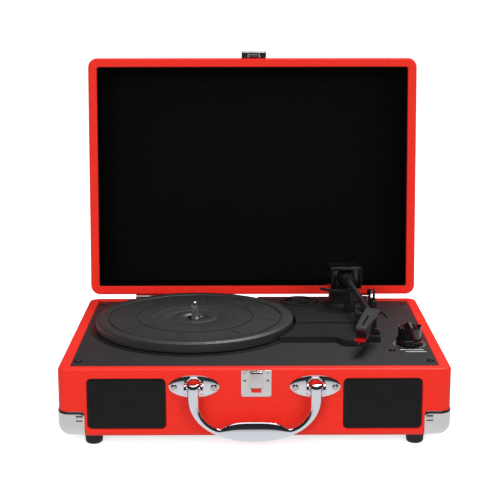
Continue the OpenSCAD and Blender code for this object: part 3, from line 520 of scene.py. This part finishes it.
def perforated(halfWide, halfHigh):    # square cells, each with an eight sided hole
    across, up = int(2 * halfWide / mesh["pitch"]), int(2 * halfHigh / mesh["pitch"])
    stepX, stepZ = 2 * halfWide / across, 2 * halfHigh / up
    angle = np.radians(np.arange(8) * 45)
    outer = np.stack([np.cos(angle), np.sin(angle)], 1)
    outer /= np.abs(outer).max(1)[:, None]
    outer *= (stepX / 2, stepZ / 2)
    inner = np.stack([np.cos(angle), np.sin(angle)], 1) * mesh["hole"]
    cell = np.concatenate([outer, inner])
    x = (np.arange(across) + 0.5) * stepX - halfWide
    z = (np.arange(up) + 0.5) * stepZ - halfHigh
    middle = np.stack(np.meshgrid(x, z, indexing="ij"), -1).reshape(-1, 1, 2)
    flat = (middle + cell).reshape(-1, 2)
    k = np.arange(8)
    quads = np.stack([k, (k + 1) % 8, (k + 1) % 8 + 8, k + 8], 1)
    faces = (quads[None] + 16 * np.arange(len(middle))[:, None, None]).reshape(-1, 4).tolist()
    return np.stack([flat[:, 0], np.zeros(len(flat)), flat[:, 1]], 1), faces


def grilleFrame():    # rim of the pressed sheet: rounded at the front, carried round the opening
    radius, wide = speaker["radius"], mesh["frame"]
    section = np.array([(-wide, 0.3), (-wide + 0.4, 0), (-0.9, 0), (-0.3, 0.3), (-0.1, 0.9), (-0.1, 5),
                        (-wide, 5)])
    flat = np.stack([openingRing(g, max(radius + g, 1))[0] for g, _ in section])
    points = np.stack([flat[..., 0], np.broadcast_to(section[:, 1:], flat.shape[:2]), flat[..., 1]], -1)
    return grid(points, closeU=True, closeV=True)


for side, name in ((-1, "left"), (1, "right")):
    at = (side * speaker["x"], -halfDeep + mesh["setBack"], speaker["z"])
    sheet = makePiece("grille_mesh_" + name,
                      place([perforated(speaker["halfWide"] - mesh["inFrame"],
                                        speaker["halfHigh"] - mesh["inFrame"])], lambda p: p + at),
                      "case", meshBlack, ("speaker_grille_" + name,))
    thick = sheet.modifiers.new("thickness", "SOLIDIFY")
    thick.thickness, thick.offset = mesh["sheet"] * millimetre, 0
    backing = place([slab(openingRing(-1.2, 3)[0], 0.6, 0.1)], upright)
    rimParts = place([grilleFrame()], lambda p: p + at)
    backParts = place(backing, lambda p: p + (at[0], at[1] + 1.9, at[2]))
    makePiece("grille_frame_" + name, rimParts + backParts, "case", meshBlack)
print("inside and grilles ready")

# corner guards: nickel sheet that follows the case's rounded corners
guardShape = {"topRound": 3, "under": 12, "bridge": (3, 1.5), "slot": (3.2, 0.55), "slotGap": 2.3,
              "inFromEdge": 4.6, "markHigh": 18}


def guard(signX, signY, edgeZ, up):
    # path: straight, quarter arc, straight; rows: wall, rounded edge and the part turned under
    radius, skin, reach = case["cornerRadius"], case["skin"], case["guardWide"] - case["cornerRadius"]
    straight = np.concatenate([np.linspace(reach, reach - 3, 6), np.linspace(reach - 4, 0.5, 8)])
    arc = np.radians(np.linspace(0, 90, 13))
    away = np.concatenate([straight, np.zeros(len(arc)), straight[::-1]])
    angle = np.concatenate([np.zeros(len(straight)), arc, np.full(len(straight), np.pi / 2)])
    alongY = np.concatenate([straight, np.zeros(len(arc) + len(straight))])
    alongX = np.concatenate([np.zeros(len(arc) + len(straight)), straight[::-1]])
    low = edgeRadius(away)
    top = guardShape["topRound"]
    rounding = top - np.sqrt(top ** 2 - np.clip(away - reach + top, 0, top) ** 2)
    t = np.linspace(0, np.pi / 2, 9)[:, None]
    inset = np.concatenate([np.full((5, len(away)), -skin), low - (low + skin) * np.cos(t),
                            low + (guardShape["under"] - low) * np.array([[0.5], [1]])])
    wallRows = (case["guardHigh"] - rounding - low) * np.array([[1], [0.75], [0.5], [0.25], [0.08]]) + low
    height = np.concatenate([wallRows, low - (low + skin) * np.sin(t), np.full((2, len(away)), -skin)])
    corner = np.maximum(radius - inset, case["innerRadius"])
    x = halfWide - inset - corner + corner * np.cos(angle) - alongX
    y = halfDeep - inset - corner + corner * np.sin(angle) - alongY
    return grid(np.stack([signX * x, signY * y, edgeZ + up * height], -1))


def dashes(signX, signY, edgeZ, up):    # the little bridge pressed out between two slots, whose black is painted shade
    shape = guardShape
    at = (signX * (halfWide - case["guardWide"] + shape["inFromEdge"]), -halfDeep - case["skin"],
          edgeZ + up * shape["markHigh"])
    flats = []
    # the two slots are thin gloss black sheets on the guard: painted shade for the openings beside the bridge
    for z, (wide, high), thickness, edge, soft in (
            (0, shape["bridge"], 0.75, 0.6, 1.2), (-shape["slotGap"], shape["slot"], 0.12, 0.05, 0.5),
            (shape["slotGap"], shape["slot"], 0.12, 0.05, 0.5)):
        flat = slab(softOutline(rectangle(-wide, z - high, wide, z + high), soft), thickness, edge)
        flats += place([flat], lambda p: (upright(p) + at) * (1, -signY, 1))
    return flats[:1], flats[1:]


def guards(name, body, edgeZ, up, move, node):
    sheets, bridges, slots = [], [], []
    for signX in (-1, 1):
        for signY in (-1, 1):
            sheets.append(guard(signX, signY, edgeZ, up))
            bridge, slot = dashes(signX, signY, edgeZ, up)
            bridges += bridge
            slots += slot
    piece = makePiece(name, place(sheets, move), body, nickel, (node,))
    thick = piece.modifiers.new("thickness", "SOLIDIFY")
    thick.thickness, thick.offset = case["skin"] * millimetre, -1
    makePiece(name + "_bridges", place(bridges, move), body, nickel)
    # gloss black slot sheets: painted shade standing in for the slot openings
    makePiece(name + "_slot_shade", place(slots, move), body, glossBlack)


guards("base_guards", "case", baseZ, 1, lambda p: p, "base_corners")
guards("lid_guards", "lid", lidTop, -1, opened, "lid_corners")
print("guards ready")

# platter
platterLow, platterHigh = span("platter")
platter = {
    "radius": (platterHigh[0] - platterLow[0]) / 2, "top": platterHigh[2],
    "lines": 8, "firstLine": 36, "lineFrom": 61.5, "lineTo": 82, "lineDepth": 0.9, "lineHalf": 0.43,
    "steps": 240,
}
platterAt = jointAt("platter_spin")
rim = platter["radius"]
topLine = [
    (6, -2.4), (12.3, -2.4), (12.9, -2.2), (13.6, -1.2), (14.2, -1), (22.2, -1), (22.7, -1.25), (23.3, -1.25),
    (23.8, -1), (37.6, -1), (38.6, -0.9), (40, -0.4), (41, -0.3), (57.3, -0.3), (57.45, -1.4), (58.6, -1.4),
    (58.75, -0.5), (60.6, -0.5), (61.4, -0.5), *[(r, -0.5) for r in np.linspace(62, 81.5, 14)], (82.2, -0.5),
    (85.3, -0.5), (85.5, -1.7), (86.9, -1.7), (87.1, -0.5), (87.6, -0.08), (88.2, 0), (94.6, 0),
    (95.3, -0.06), (95.7, -0.4), (96.1, -0.5), (rim - 1.4, -0.5), (rim - 0.7, -0.65), (rim - 0.2, -1.1),
    (rim, -1.8),
]
underLine = [(rim, -8.6), (rim - 0.4, -9), (rim - 2.2, -9), (rim - 2.6, -8.6), (rim - 2.6, -3), (68, -3),
             (68, -8), (65.5, -8), (65.5, -3), (12, -3.4), (12, -8.4), (6, -8.4)]
lineHeadings = platter["firstLine"] + 360 / platter["lines"] * np.arange(platter["lines"])
beside = np.array([-1.2, -0.7, -0.48, -0.42, 0, 0.42, 0.48, 0.7, 1.2])
headings = np.unique(np.concatenate([np.linspace(0, 360, platter["steps"], endpoint=False),
                                     (lineHeadings[:, None] + beside).ravel() % 360]))
profile = np.array(topLine + underLine)
radius, height = profile[:, :1], np.repeat(profile[:, 1:], len(headings), 1)
between = 360 / platter["lines"]
turn = (headings - platter["firstLine"] + between / 2) % between - between / 2    # from the nearest line
upper = (np.arange(len(profile)) < len(topLine))[:, None]
onLine = upper & (radius > platter["lineFrom"]) & (radius < platter["lineTo"])
height -= np.where(onLine & (np.abs(turn) < platter["lineHalf"])[None], platter["lineDepth"], 0)
angle = np.radians(headings)[None]
topAt = (*platterAt[:2], platter["top"])
points = np.stack([radius * np.cos(angle), radius * np.sin(angle), height], -1) + topAt
makePiece("platter_disc", [grid(points, closeU=True, closeV=True)], "platter", platterPlastic,
          ("platter",), angle=40)


def onPlatter(profile, steps, places):    # small turned shapes at (radius, height, heading)
    parts = []
    for r, z, heading in places:
        parts += place([lathe(profile, steps)], lambda p: turned(p + (r, 0, z), "z", heading) + topAt)
    return parts


dots = {"radius": 80.5, "headings": (58, 178, 298),
        "pins": ((41.6, -0.3), (90.4, 0)), "pinHeadings": (-3, 177)}    # pins: radius, height
padSection = [(0, 1.1), (2.6, 1.1), (3.5, 0.95), (3.95, 0.5), (4.0, 0), (0, 0)]
pads = onPlatter(padSection, 32, [(dots["radius"], -1, heading) for heading in dots["headings"]])
makePiece("platter_dots", pads, "platter", rubber, ("platter_pads",))
# gloss black discs laid on the platter where it has small holes: painted shade for the holes
pinSection = [(0, 0.04), (0.9, 0.04), (1.1, 0.1), (1.25, 0.02), (1.25, -0.3), (0, -0.3)]
pinPlaces = [(*pin, heading) for pin in dots["pins"] for heading in dots["pinHeadings"]]
pinhole_shades = onPlatter(pinSection, 20, pinPlaces)
makePiece("platter_pinholes", pinhole_shades, "platter", glossBlack)

spindleLow, spindleHigh = span("spindle")
tip = spindleHigh[2]
spindleLine = [(0, tip), (0.9, tip - 0.1), (1.9, tip - 0.6), (2.7, tip - 1.6), (3.2, tip - 3),
               (3.5, tip - 4.6), (3.5, platter["top"] - 1.0), (3.9, platter["top"] - 1.2),
               (4, platter["top"] - 1.6), (4, spindleLow[2] + 0.5), (3.6, spindleLow[2]), (0, spindleLow[2])]
makePiece("spindle_pin", [lathe(spindleLine, 48, (*platterAt[:2], 0))], "case", steel, ("spindle",))
easedCopy("spindle_ring", "spindle_clip", "case", chrome, 0.15)
print("platter ready")


# deck
def paint(material, *names):    # better finishes on the frame's own nodes
    for name in names:
        data = frame["nodes"][name].data
        data.materials.clear()
        data.materials.append(material)


easedCopy("mechanism_plate", "mech_plate", "case", platePlastic, 0.8, 4)
easedCopy("deck_board", "deck_plate", "case", deckVinyl, 0.3)
easedCopy("deck_screw_heads", "deck_screws", "case", glossBlack, 0.18)
easedCopy("single_adapter", "adapter_45", "adapter", blackPlastic, 0.3, 3)
easedCopy("rest_block", "arm_rest", "case", blackPlastic, 0.5, 3)
easedCopy("rest_hook", "rest_clip", "rest_clip", blackPlastic, 0.35, 3)
easedCopy("speed_button", "speed_switch", "speed_switch", blackPlastic, 0.35, 3)
easedCopy("lift_tower", "cue_cylinder", "case", blackPlastic, 0.4, 3)
easedCopy("lift_rest", "cue_lift", "cue_lift", blackPlastic, 0.35, 3)
easedCopy("lift_lever", "cue_lever", "cue_lever", glossBlack, 0.4, 3)
print("deck ready")

# handle: chrome grip between two curves, its legs ending round the pivots
handlePivot = jointAt("handle_swing")
handle = {
    "half": 60, "low": 9.8, "drop": 42.3, "outerPower": 2.15, "legWide": 10.5, "innerLow": 22.8,
    "innerDrop": 21.2, "innerPower": 1.75, "bumpHalf": 30.5, "bumpHigh": 5.7, "thick": 8.5, "roundness": 2.02,
    "steps": 96,
}


def evenly(path, count):    # the same path with its points at equal distances
    along = np.concatenate([[0], np.cumsum(np.linalg.norm(np.diff(path, axis=0), axis=1))])
    wanted = np.linspace(0, along[-1], count)
    return np.stack([np.interp(wanted, along, side) for side in path.T], 1)


def handleSides():    # outer side |x/60|^p + |(top - z)/42.3|^p = 1, inner side the same with a bump
    h, t = handle, np.linspace(0, 1, 200)
    wave = np.sin(t * np.pi / 2), np.cos(t * np.pi / 2)
    outer = np.stack([h["half"] * wave[0] ** (2 / h["outerPower"]),
                      h["low"] + h["drop"] * (1 - wave[1] ** (2 / h["outerPower"]))], 1)
    bump = np.stack([h["bumpHalf"] * t, h["innerLow"] + h["bumpHigh"] * (1 - t ** 3.6) ** 1.25], 1)
    rest = h["half"] - h["legWide"] - h["bumpHalf"]
    curve = np.stack([h["bumpHalf"] + rest * wave[0] ** (2 / h["innerPower"]),
                      h["innerLow"] + h["innerDrop"] * (1 - wave[1] ** (2 / h["innerPower"]))], 1)
    outer = np.concatenate([outer, [(h["half"], handlePivot[2])]])
    inner = np.concatenate([bump, curve[1:], [(h["half"] - h["legWide"], handlePivot[2])]])
    return evenly(outer, h["steps"]), evenly(inner, h["steps"])


outerSide, innerSide = handleSides()
middleLine, halfAcross = (outerSide + innerSide) / 2, (outerSide - innerSide) / 2
depth = np.full(len(middleLine), handle["thick"] / 2)
over = np.radians(np.array([12, 26, 40, 54, 68, 80, 87]))
endRise = np.stack([np.zeros(len(over)), handle["thick"] / 2 * np.sin(over)], 1)
middleLine = np.concatenate([middleLine, middleLine[-1] + endRise])
halfAcross = np.concatenate([halfAcross, halfAcross[-1] * (1 - 0.1 * (1 - np.cos(over)))[:, None]])
depth = np.concatenate([depth, handle["thick"] / 2 * np.cos(over)])
mirror = np.array([-1, 1])
middleLine = np.concatenate([middleLine[:0:-1] * mirror, middleLine])
halfAcross = np.concatenate([halfAcross[:0:-1] * mirror, halfAcross])
depth = np.concatenate([depth[:0:-1], depth])
around = np.linspace(0, 2 * np.pi, 32, endpoint=False)
bulge = 2 / handle["roundness"]
cosPart = np.sign(np.cos(around)) * np.abs(np.cos(around)) ** bulge
sinPart = np.sign(np.sin(around)) * np.abs(np.sin(around)) ** bulge
flat = middleLine[:, None] + halfAcross[:, None] * cosPart[None, :, None]
handlePoints = np.stack([flat[..., 0], handlePivot[1] + depth[:, None] * sinPart[None], flat[..., 1]], -1)
makePiece("carry_handle", [grid(handlePoints, closeV=True, capStart=True, capEnd=True)], "handle", chrome,
          ("handle",), angle=45)

# brackets: domed oval plates with an eight sided eye, cheeks, pins and cross-head screws
bracket = {"x": 54.4, "halfWide": 22.6, "halfHigh": 10.5, "lower": 1, "rise": 2.1, "lip": 0.5, "screwX": 17.8,
           "eyeWide": 6.6, "eyeHigh": 5.7, "eyeLift": 0.9, "cheekX": 7.4, "cheek": 2.4, "cheekRound": 5,
           "screwOut": 1.7, "screwDrop": 1.6}
frontY, pivotZ = -halfDeep, handlePivot[2]
reachOut = frontY - handlePivot[1]


def octagon(wide, high, steps=64):    # eight flats: r = a / cos(angle from the nearest flat)
    angle = np.linspace(0, 2 * np.pi, steps, endpoint=False)
    off = (angle + np.pi / 8) % (np.pi / 4) - np.pi / 8
    return np.stack([wide * np.cos(angle), high * np.sin(angle)], 1) / np.cos(off)[:, None]


def bracketPlate():    # dome height = lip + rise sqrt(1 - rho^2), open inside the eye
    angle = np.linspace(0, 2 * np.pi, 64, endpoint=False)
    outer = np.stack([bracket["halfWide"] * np.cos(angle), bracket["halfHigh"] * np.sin(angle)], 1)
    inner = octagon(bracket["eyeWide"], bracket["eyeHigh"]) + (0, bracket["eyeLift"] + bracket["lower"])
    share = np.linspace(0, 1, 15)[:, None, None] ** 0.8
    rows = inner + (outer - inner) * share
    rho = (rows[..., 0] / bracket["halfWide"]) ** 2 + (rows[..., 1] / bracket["halfHigh"]) ** 2
    high = bracket["lip"] + bracket["rise"] * np.sqrt(np.clip(1 - rho, 0, 1))
    rows = np.concatenate([inner[None], rows, outer[None]])
    high = np.concatenate([np.zeros((1, 64)), high, np.zeros((1, 64))])
    return grid(np.concatenate([rows, high[..., None]], -1), closeU=True, closeV=True)


def eyeFrame():    # a rounded section carried round the octagon: offset g outwards, height z
    section = [(2.1, 0), (2.0, 3.2), (1.5, 3.7), (0.6, 3.7), (0.1, 3.3), (0, 0)]
    rows = np.stack([octagon(bracket["eyeWide"] + g, bracket["eyeHigh"] + g) for g, _ in section])
    high = np.broadcast_to(np.array([z for _, z in section])[:, None, None], rows.shape[:2] + (1,))
    return grid(np.concatenate([rows, high], -1), closeU=True, closeV=True)


def cheekParts(x):    # two mirrored halves of a tab: straight root, nose r cos a forwards and r sin a up
    arc, radius = np.linspace(-np.pi / 2, np.pi / 2, 17), bracket["cheekRound"]
    nose = np.stack([reachOut + radius * np.cos(arc), radius * np.sin(arc)], 1)
    outline = np.concatenate([[(0.3, -radius)], nose, [(0.3, radius)]])
    both = []
    for s in (-1, 1):
        both += place([slab(outline, bracket["cheek"] / 2, 0.5)],
                      lambda p: np.stack([x + s * p[..., 2], frontY - p[..., 0], pivotZ + p[..., 1]], -1))
    return both


brackets, pins, heads, crossA, crossB = [], [], [], [], []
pinLine = [(0, 8.6), (0.7, 8.5), (1.2, 8.2), (1.5, 7.6), (1.5, -7.6), (1.2, -8.2), (0.7, -8.5), (0, -8.6)]
headLine = [(0, 1.25), (1.2, 1.2), (2.1, 1.0), (2.8, 0.6), (3.2, 0), (3.2, -0.9), (0, -0.9)]
for side in (-1, 1):
    x = side * bracket["x"]
    brackets += place(place([bracketPlate()], upright), lambda p: p + (x, frontY, pivotZ - bracket["lower"]))
    brackets += place(place([eyeFrame()], upright), lambda p: p + (x, frontY, pivotZ + bracket["eyeLift"]))
    brackets += cheekParts(x - bracket["cheekX"]) + cheekParts(x + bracket["cheekX"])
    pins += place([lathe(pinLine, 24)], lambda p: turned(p, "y", 90) + (x, handlePivot[1], pivotZ))
    for s in (-1, 1):
        at = (x + s * bracket["screwX"], frontY - bracket["screwOut"], pivotZ - bracket["screwDrop"])
        heads += place(place([lathe(headLine, 32)], upright), lambda p: p + at)
        crossA += place([slab(rectangle(-1.9, -0.4, 1.9, 0.4), 2, 0.01)],
                        lambda p: upright(p) + at - (0, 0.3, 0))
        crossB += place([slab(rectangle(-0.4, -1.9, 0.4, 1.9), 2, 0.01)],
                        lambda p: upright(p) + at - (0, 0.35, 0))
makePiece("bracket_plates", brackets, "case", chrome, ("handle_brackets",), angle=35)
makePiece("bracket_pins", pins, "case", steel, ("handle_pins",))
makePiece("bracket_screw_heads", heads, "case", nickel, ("bracket_screws",),
          cutters=(crossA, crossB))

# latch plate
latch = {"x": 1.5, "halfWide": 13.75, "low": 48.4, "high": 73.1, "tongue": 5.9, "foot": 56.6,
         "windowLow": 52.4, "rivetX": 10.3, "rivetZ": 63.2, "slotX": 10.4, "sheet": 1.2, "raised": 3.5}


def onLatch(parts, out=0):    # from a drawing to the latch's place on the front
    return place(parts, lambda p: upright(p) + (latch["x"], frontY - out, 0))


wide, tongue, foot, high = latch["halfWide"], latch["tongue"], latch["foot"], latch["high"]
plateFlat = softOutline(rectangle(-wide, latch["low"], wide, high), (2.6, 2.6, 0.6, 0.6))
windowFlat = [(-4.2, latch["windowLow"]), (4.2, latch["windowLow"]), (5, foot), (-5, foot)]
slots = [slab(rectangle(x - 1.7, high - 2.7, x + 1.7, high - 1.7), 4, 0.01, 0.5)
         for x in (-latch["slotX"], latch["slotX"])]
makePiece("latch_sheet", onLatch([slab(plateFlat, latch["sheet"], 0.45)]), "case", nickel,
          ("latch_plate",), cutters=(onLatch([slab(windowFlat, 4, 0.01, -1)]), onLatch(slots)))
tongueFlat = softOutline(rectangle(-tongue, foot, tongue, high - 0.8), (0.8, 0.8, 1.6, 1.6))
rivetLine = [(0, 0.95), (0.7, 0.85), (1.2, 0.5), (1.5, 0), (1.5, -0.5), (0, -0.5)]
rivetPlaces = [(s * latch["rivetX"], latch["rivetZ"], latch["sheet"]) for s in (-1, 1)]
rivets = [part for at in rivetPlaces for part in place([lathe(rivetLine, 24)], lambda p: p + at)]
tongueParts = [slab(tongueFlat, latch["raised"], 1.0), *rivets]
makePiece("latch_tongue", onLatch(tongueParts), "case", nickel)
# a thin gloss black strip on the tongue's face near its top: painted shade standing in for the slot
slotShadeFlat = softOutline(rectangle(-tongue + 0.8, high - 2.5, tongue - 0.8, high - 1.6), 0.3, 2)
makePiece("latch_slot_shade", onLatch([slab(slotShadeFlat, 0.1, 0.04)], latch["raised"]), "case", glossBlack)
# the hasp sheet and tongue take the darkened nickel, which is painted shade
easedCopy("hasp_sheet", "hasp_plate", "lid", shadedNickel, 0.4, 3)
easedCopy("hasp_tongue", "hasp_lever", "hasp", shadedNickel, 0.4, 3)
easedCopy("hinge_leaves_base", "hinge_base_leaves", "case", nickel, 0.25)
easedCopy("hinge_leaves_lid", "hinge_lid_leaves", "lid", nickel, 0.25)
print("handle and latch ready")

# volume knob: a ridge between two scooped sides, on a round skirt
knobAt, knobBase = jointAt("volume_turn"), span("volume_knob")[0][2]
knob = {"body": 11.1, "high": 18.6, "scoop": 7.4, "scoopX": 5.9, "scoopUp": 5}


def knobTop(x):    # z = high, or lower where the scoop's circle passes below it
    under = np.sqrt(np.clip(knob["scoop"] ** 2 - (np.abs(x) - knob["scoopX"]) ** 2, 0, None))
    return np.minimum(knob["high"], knob["high"] + knob["scoopUp"] - under)


sideX = np.concatenate([[0, 0.25, 0.45, 0.6, 0.9], np.linspace(1.4, 10, 18), [10.4, 10.7, 10.9, 11.05, 11.1]])
knobX = np.concatenate([-sideX[:0:-1], sideX])
chord = np.sqrt(np.clip(knob["body"] ** 2 - knobX ** 2, 0, None))[:, None]
topZ = knobTop(knobX)[:, None]
share = np.concatenate([[-1, -1, -1, -0.975], np.linspace(-0.94, 0.94, 17), [0.975, 1, 1, 1]])[None]
drop = np.concatenate([[99, 5, 0.35, 0.08], np.zeros(17), [0.08, 0.35, 5, 99]])[None]
knobZ = np.maximum(topZ - drop, 1)
knobPoints = np.stack([np.broadcast_to(knobX[:, None], knobZ.shape), chord * share, knobZ], -1)
skirtLine = [(0, 0), (12.3, 0), (12.75, 0.4), (12.75, 4.6), (12.55, 5.2), (12.1, 5.6), (10.5, 5.6),
             (10.2, 5.2), (0, 5.2)]
knobParts = [grid(knobPoints, closeV=True), lathe(skirtLine, 72)]
makePiece("volume_dial", place(knobParts, lambda p: p + (*knobAt[:2], knobBase)), "volume", glossBlack,
          ("volume_knob",), angle=28)
easedCopy("phones_socket", "headphone_socket", "case", glossBlack, 0.2, 2)
easedCopy("power_light", "power_led", "case", ledRed, 0.3, 3)

# printed ticks round the knob, and two rows of short strokes in front of it
deckTop = span("deck_plate")[1][2]
tickMarks = {"count": 21, "first": -55, "last": 235, "from": 14, "to": 14.8, "longer": 1.6, "short": 0.8,
             "rows": ((0, 15, -19.5), (3, 13, -26)), "pitch": 1.5}    # rows: x, how many, y
ticks = []
for number, heading in enumerate(np.linspace(tickMarks["first"], tickMarks["last"], tickMarks["count"])):
    longer = tickMarks["longer" if number in (0, tickMarks["count"] - 1) else "short"]
    ticks += place([slab(rectangle(tickMarks["from"], -0.24, tickMarks["to"] + longer, 0.24), 0.05, 0.01)],
                   lambda p: turned(p, "z", heading) + (*knobAt[:2], deckTop))
for across, count, y in tickMarks["rows"]:
    for stroke in range(count):
        x = across + tickMarks["pitch"] * (stroke - (count - 1) / 2)
        ticks += place([slab(rectangle(-0.4, -1.2, 0.4, 1.2), 0.05, 0.01)],
                       lambda p: p + (knobAt[0] + x, knobAt[1] + y, deckTop))
makePiece("printed_ticks", ticks, "case", printWhite)
print("controls ready")

# tonearm
armAt, towerFoot = jointAt("arm_lift"), span("tonearm_base")[0][2]
towerLine = [(0, 0), (21.5, 0), (21.5, 0.5), (20.2, 1.2), (18.6, 2.2), (17.2, 3.4), (16.2, 4.6), (15.7, 6.4),
             (15.5, 9), (15.5, 13.2), (15.1, 13.4), (15.1, 14.2), (15.5, 14.4), (15.5, 17.4), (15.1, 17.9),
             (14.6, 18), (4.3, 18), (4.3, 2.2), (0, 2.2)]
makePiece("arm_tower", [lathe(towerLine, 72, (*armAt[:2], towerFoot))], "case", blackPlastic,
          ("tonearm_base",), angle=30)
easedCopy("arm_fork", "arm_yoke", "arm_carriage", glossBlack, 0.7, 3)
axle = joints["arm_lift"]["axis"]
armHeading = math.degrees(math.atan2(axle[0], -axle[1]))
panels = block((-14.5, -15.2, 6.9), (-7.8, 15.2, 10), 0.9)    # rear of the cap, then the two front panels
for low, high in ((-15.3, -7.9), (7.9, 15.3)):
    panels += block((8.4, low, -10.8), (11, high, 7.2), 0.7)
makePiece("arm_fork_panels", place(panels, lambda p: turned(p, "z", armHeading) + armAt), "arm_carriage",
          glossBlack)
easedCopy("arm_axle", "arm_pivot_pin", "arm_carriage", steel, 0.3, 2)
easedCopy("arm_beam", "arm_tube", "arm", blackPlastic, 0.5, 3)
easedCopy("arm_shell", "headshell", "arm", shellGrey, 0.5, 3)
easedCopy("pickup", "cartridge", "arm", glossBlack, 0.5, 3)
easedCopy("needle_body", "stylus", "arm", stylusRed, 0.12, 2)
easedCopy("finger_wire", "finger_lift", "arm", blackPlastic, 0.1, 1)
print("tonearm ready")

# feet
feet = {"x": 147, "y": 113.5, "top": span("feet")[1][2]}
footLine = [(3.3, 1.6), (3.3, 0.4), (3.9, 0), (5, 0), (6.4, 0.35), (7.4, 1.2), (7.9, 2.4), (8, 3.6),
            (8, feet["top"]), (1.5, feet["top"]), (1.5, 1.6)]
soles = [lathe(footLine, 40, (x * feet["x"], y * feet["y"], 0), closed=True)
         for x in (-1, 1) for y in (-1, 1)]
makePiece("rubber_feet", soles, "case", rubber, ("feet",))

# frame nodes that keep their own shape
paint(rubber, "drive_belt")
paint(steel, "bottom_screws", "motor", "volume_pot", "rca_jacks", "hinge_pins", "motor_shaft", "knob_shaft")
paint(nylon, "thrust_washer")
paint(brass, "bearing_bush", "motor_pulley")
paint(boardGreen, "amp_board")
paint(fibreboard, "base_bottom")
paint(blackPlastic, "jack_plate", "dc_inlet")
paint(ferrite, "speaker_baskets", "speaker_magnets")
paint(conePaper, "speaker_cones")

# world, light, floor and camera
shot = {"lens": 90.07, "place": (-0.008, -1.23627, 0.414), "down": 12.16, "right": 0.23, "roll": 0.07}
camera = bpy.data.objects.new("camera", bpy.data.cameras.new("camera"))
bpy.context.scene.collection.objects.link(camera)
camera.data.lens, camera.data.sensor_width = shot["lens"], 36
camera.location = shot["place"]
camera.rotation_euler = Euler([math.radians(a) for a in (90 - shot["down"], shot["roll"], -shot["right"])])
bpy.context.scene.camera = camera
bpy.context.scene.view_settings.view_transform = "Standard"

world = bpy.data.worlds.new("studio")
bpy.context.scene.world = world
world.use_nodes = True
sky, skyLinks = world.node_tree.nodes, world.node_tree.links
sky.clear()
direction = sky.new("ShaderNodeTexCoord").outputs["Generated"]
split = sky.new("ShaderNodeSeparateXYZ")
skyLinks.new(direction, split.inputs[0])
bands = sky.new("ShaderNodeValToRGB")
bands.color_ramp.elements.remove(bands.color_ramp.elements[1])
bands.color_ramp.elements[0].position, bands.color_ramp.elements[0].color = 0.0, (0.75, 0.77, 0.8, 1)
greys = ((0.36, 0.72), (0.44, 0.55), (0.485, 0.42), (0.505, 0.03), (0.955, 0.015), (0.975, 1.3), (1.0, 1.3))
for position, grey in greys:    # seen in reflections: pale below, dark from the horizon up, bright overhead
    bands.color_ramp.elements.new(position).color = (grey, grey, grey * 1.04, 1)
lift = sky.new("ShaderNodeMapRange")
lift.inputs["From Min"].default_value = -1
skyLinks.new(split.outputs["Z"], lift.inputs["Value"])
skyLinks.new(lift.outputs["Result"], bands.inputs["Fac"])
ray = sky.new("ShaderNodeLightPath")
seen = sky.new("ShaderNodeMix")
seen.data_type = "RGBA"
seen.inputs["B"].default_value = (1, 1, 1, 1)
skyLinks.new(ray.outputs["Is Camera Ray"], seen.inputs["Factor"])
pick = sky.new("ShaderNodeMix")
pick.data_type = "RGBA"
pick.inputs["A"].default_value = (0.5, 0.5, 0.5, 1)
skyLinks.new(ray.outputs["Is Glossy Ray"], pick.inputs["Factor"])
skyLinks.new(bands.outputs["Color"], pick.inputs["B"])
back = sky.new("ShaderNodeBackground")
skyLinks.new(pick.outputs["Result"], seen.inputs["A"])
skyLinks.new(seen.outputs["Result"], back.inputs["Color"])
skyLinks.new(back.outputs[0], sky.new("ShaderNodeOutputWorld").inputs["Surface"])


def lamp(name, at, size, power, target=(0, 0, 0.1)):
    light = bpy.data.objects.new(name, bpy.data.lights.new(name, "AREA"))
    light.data.shape, light.data.size, light.data.energy = "DISK", size, power
    light.location = at
    away = light.location - type(light.location)(target)
    light.rotation_euler = away.to_track_quat("Z", "Y").to_euler()
    bpy.context.scene.collection.objects.link(light)
    return light


for light in (lamp("key", (-0.7, -1.9, 0.9), 0.9, 15), lamp("fill", (1.0, -1.7, 0.8), 1.0, 12)):
    light.visible_glossy = False
lamp("top", (0.35, 0.45, 1.4), 0.6, 14)
floorSize = 6
floor = bpy.data.objects.new("floor", bpy.data.meshes.new("floor"))
floor.data.from_pydata([(-floorSize, -floorSize, 0), (floorSize, -floorSize, 0), (floorSize, floorSize, 0),
                        (-floorSize, floorSize, 0)], [], [(0, 1, 2, 3)])
bpy.context.scene.collection.objects.link(floor)
floorWhite = finish("floor_white", (0.9, 0.9, 0.9), 0.8, tint=0, specular=0.1)
floorShader = floorWhite.node_tree.nodes["Principled BSDF"]
floorShader.inputs["Emission Color"].default_value = (1, 1, 1, 1)
floorShader.inputs["Emission Strength"].default_value = 0.7
floor.data.materials.append(floorWhite)
floor.visible_glossy = False
floor.visible_diffuse = False
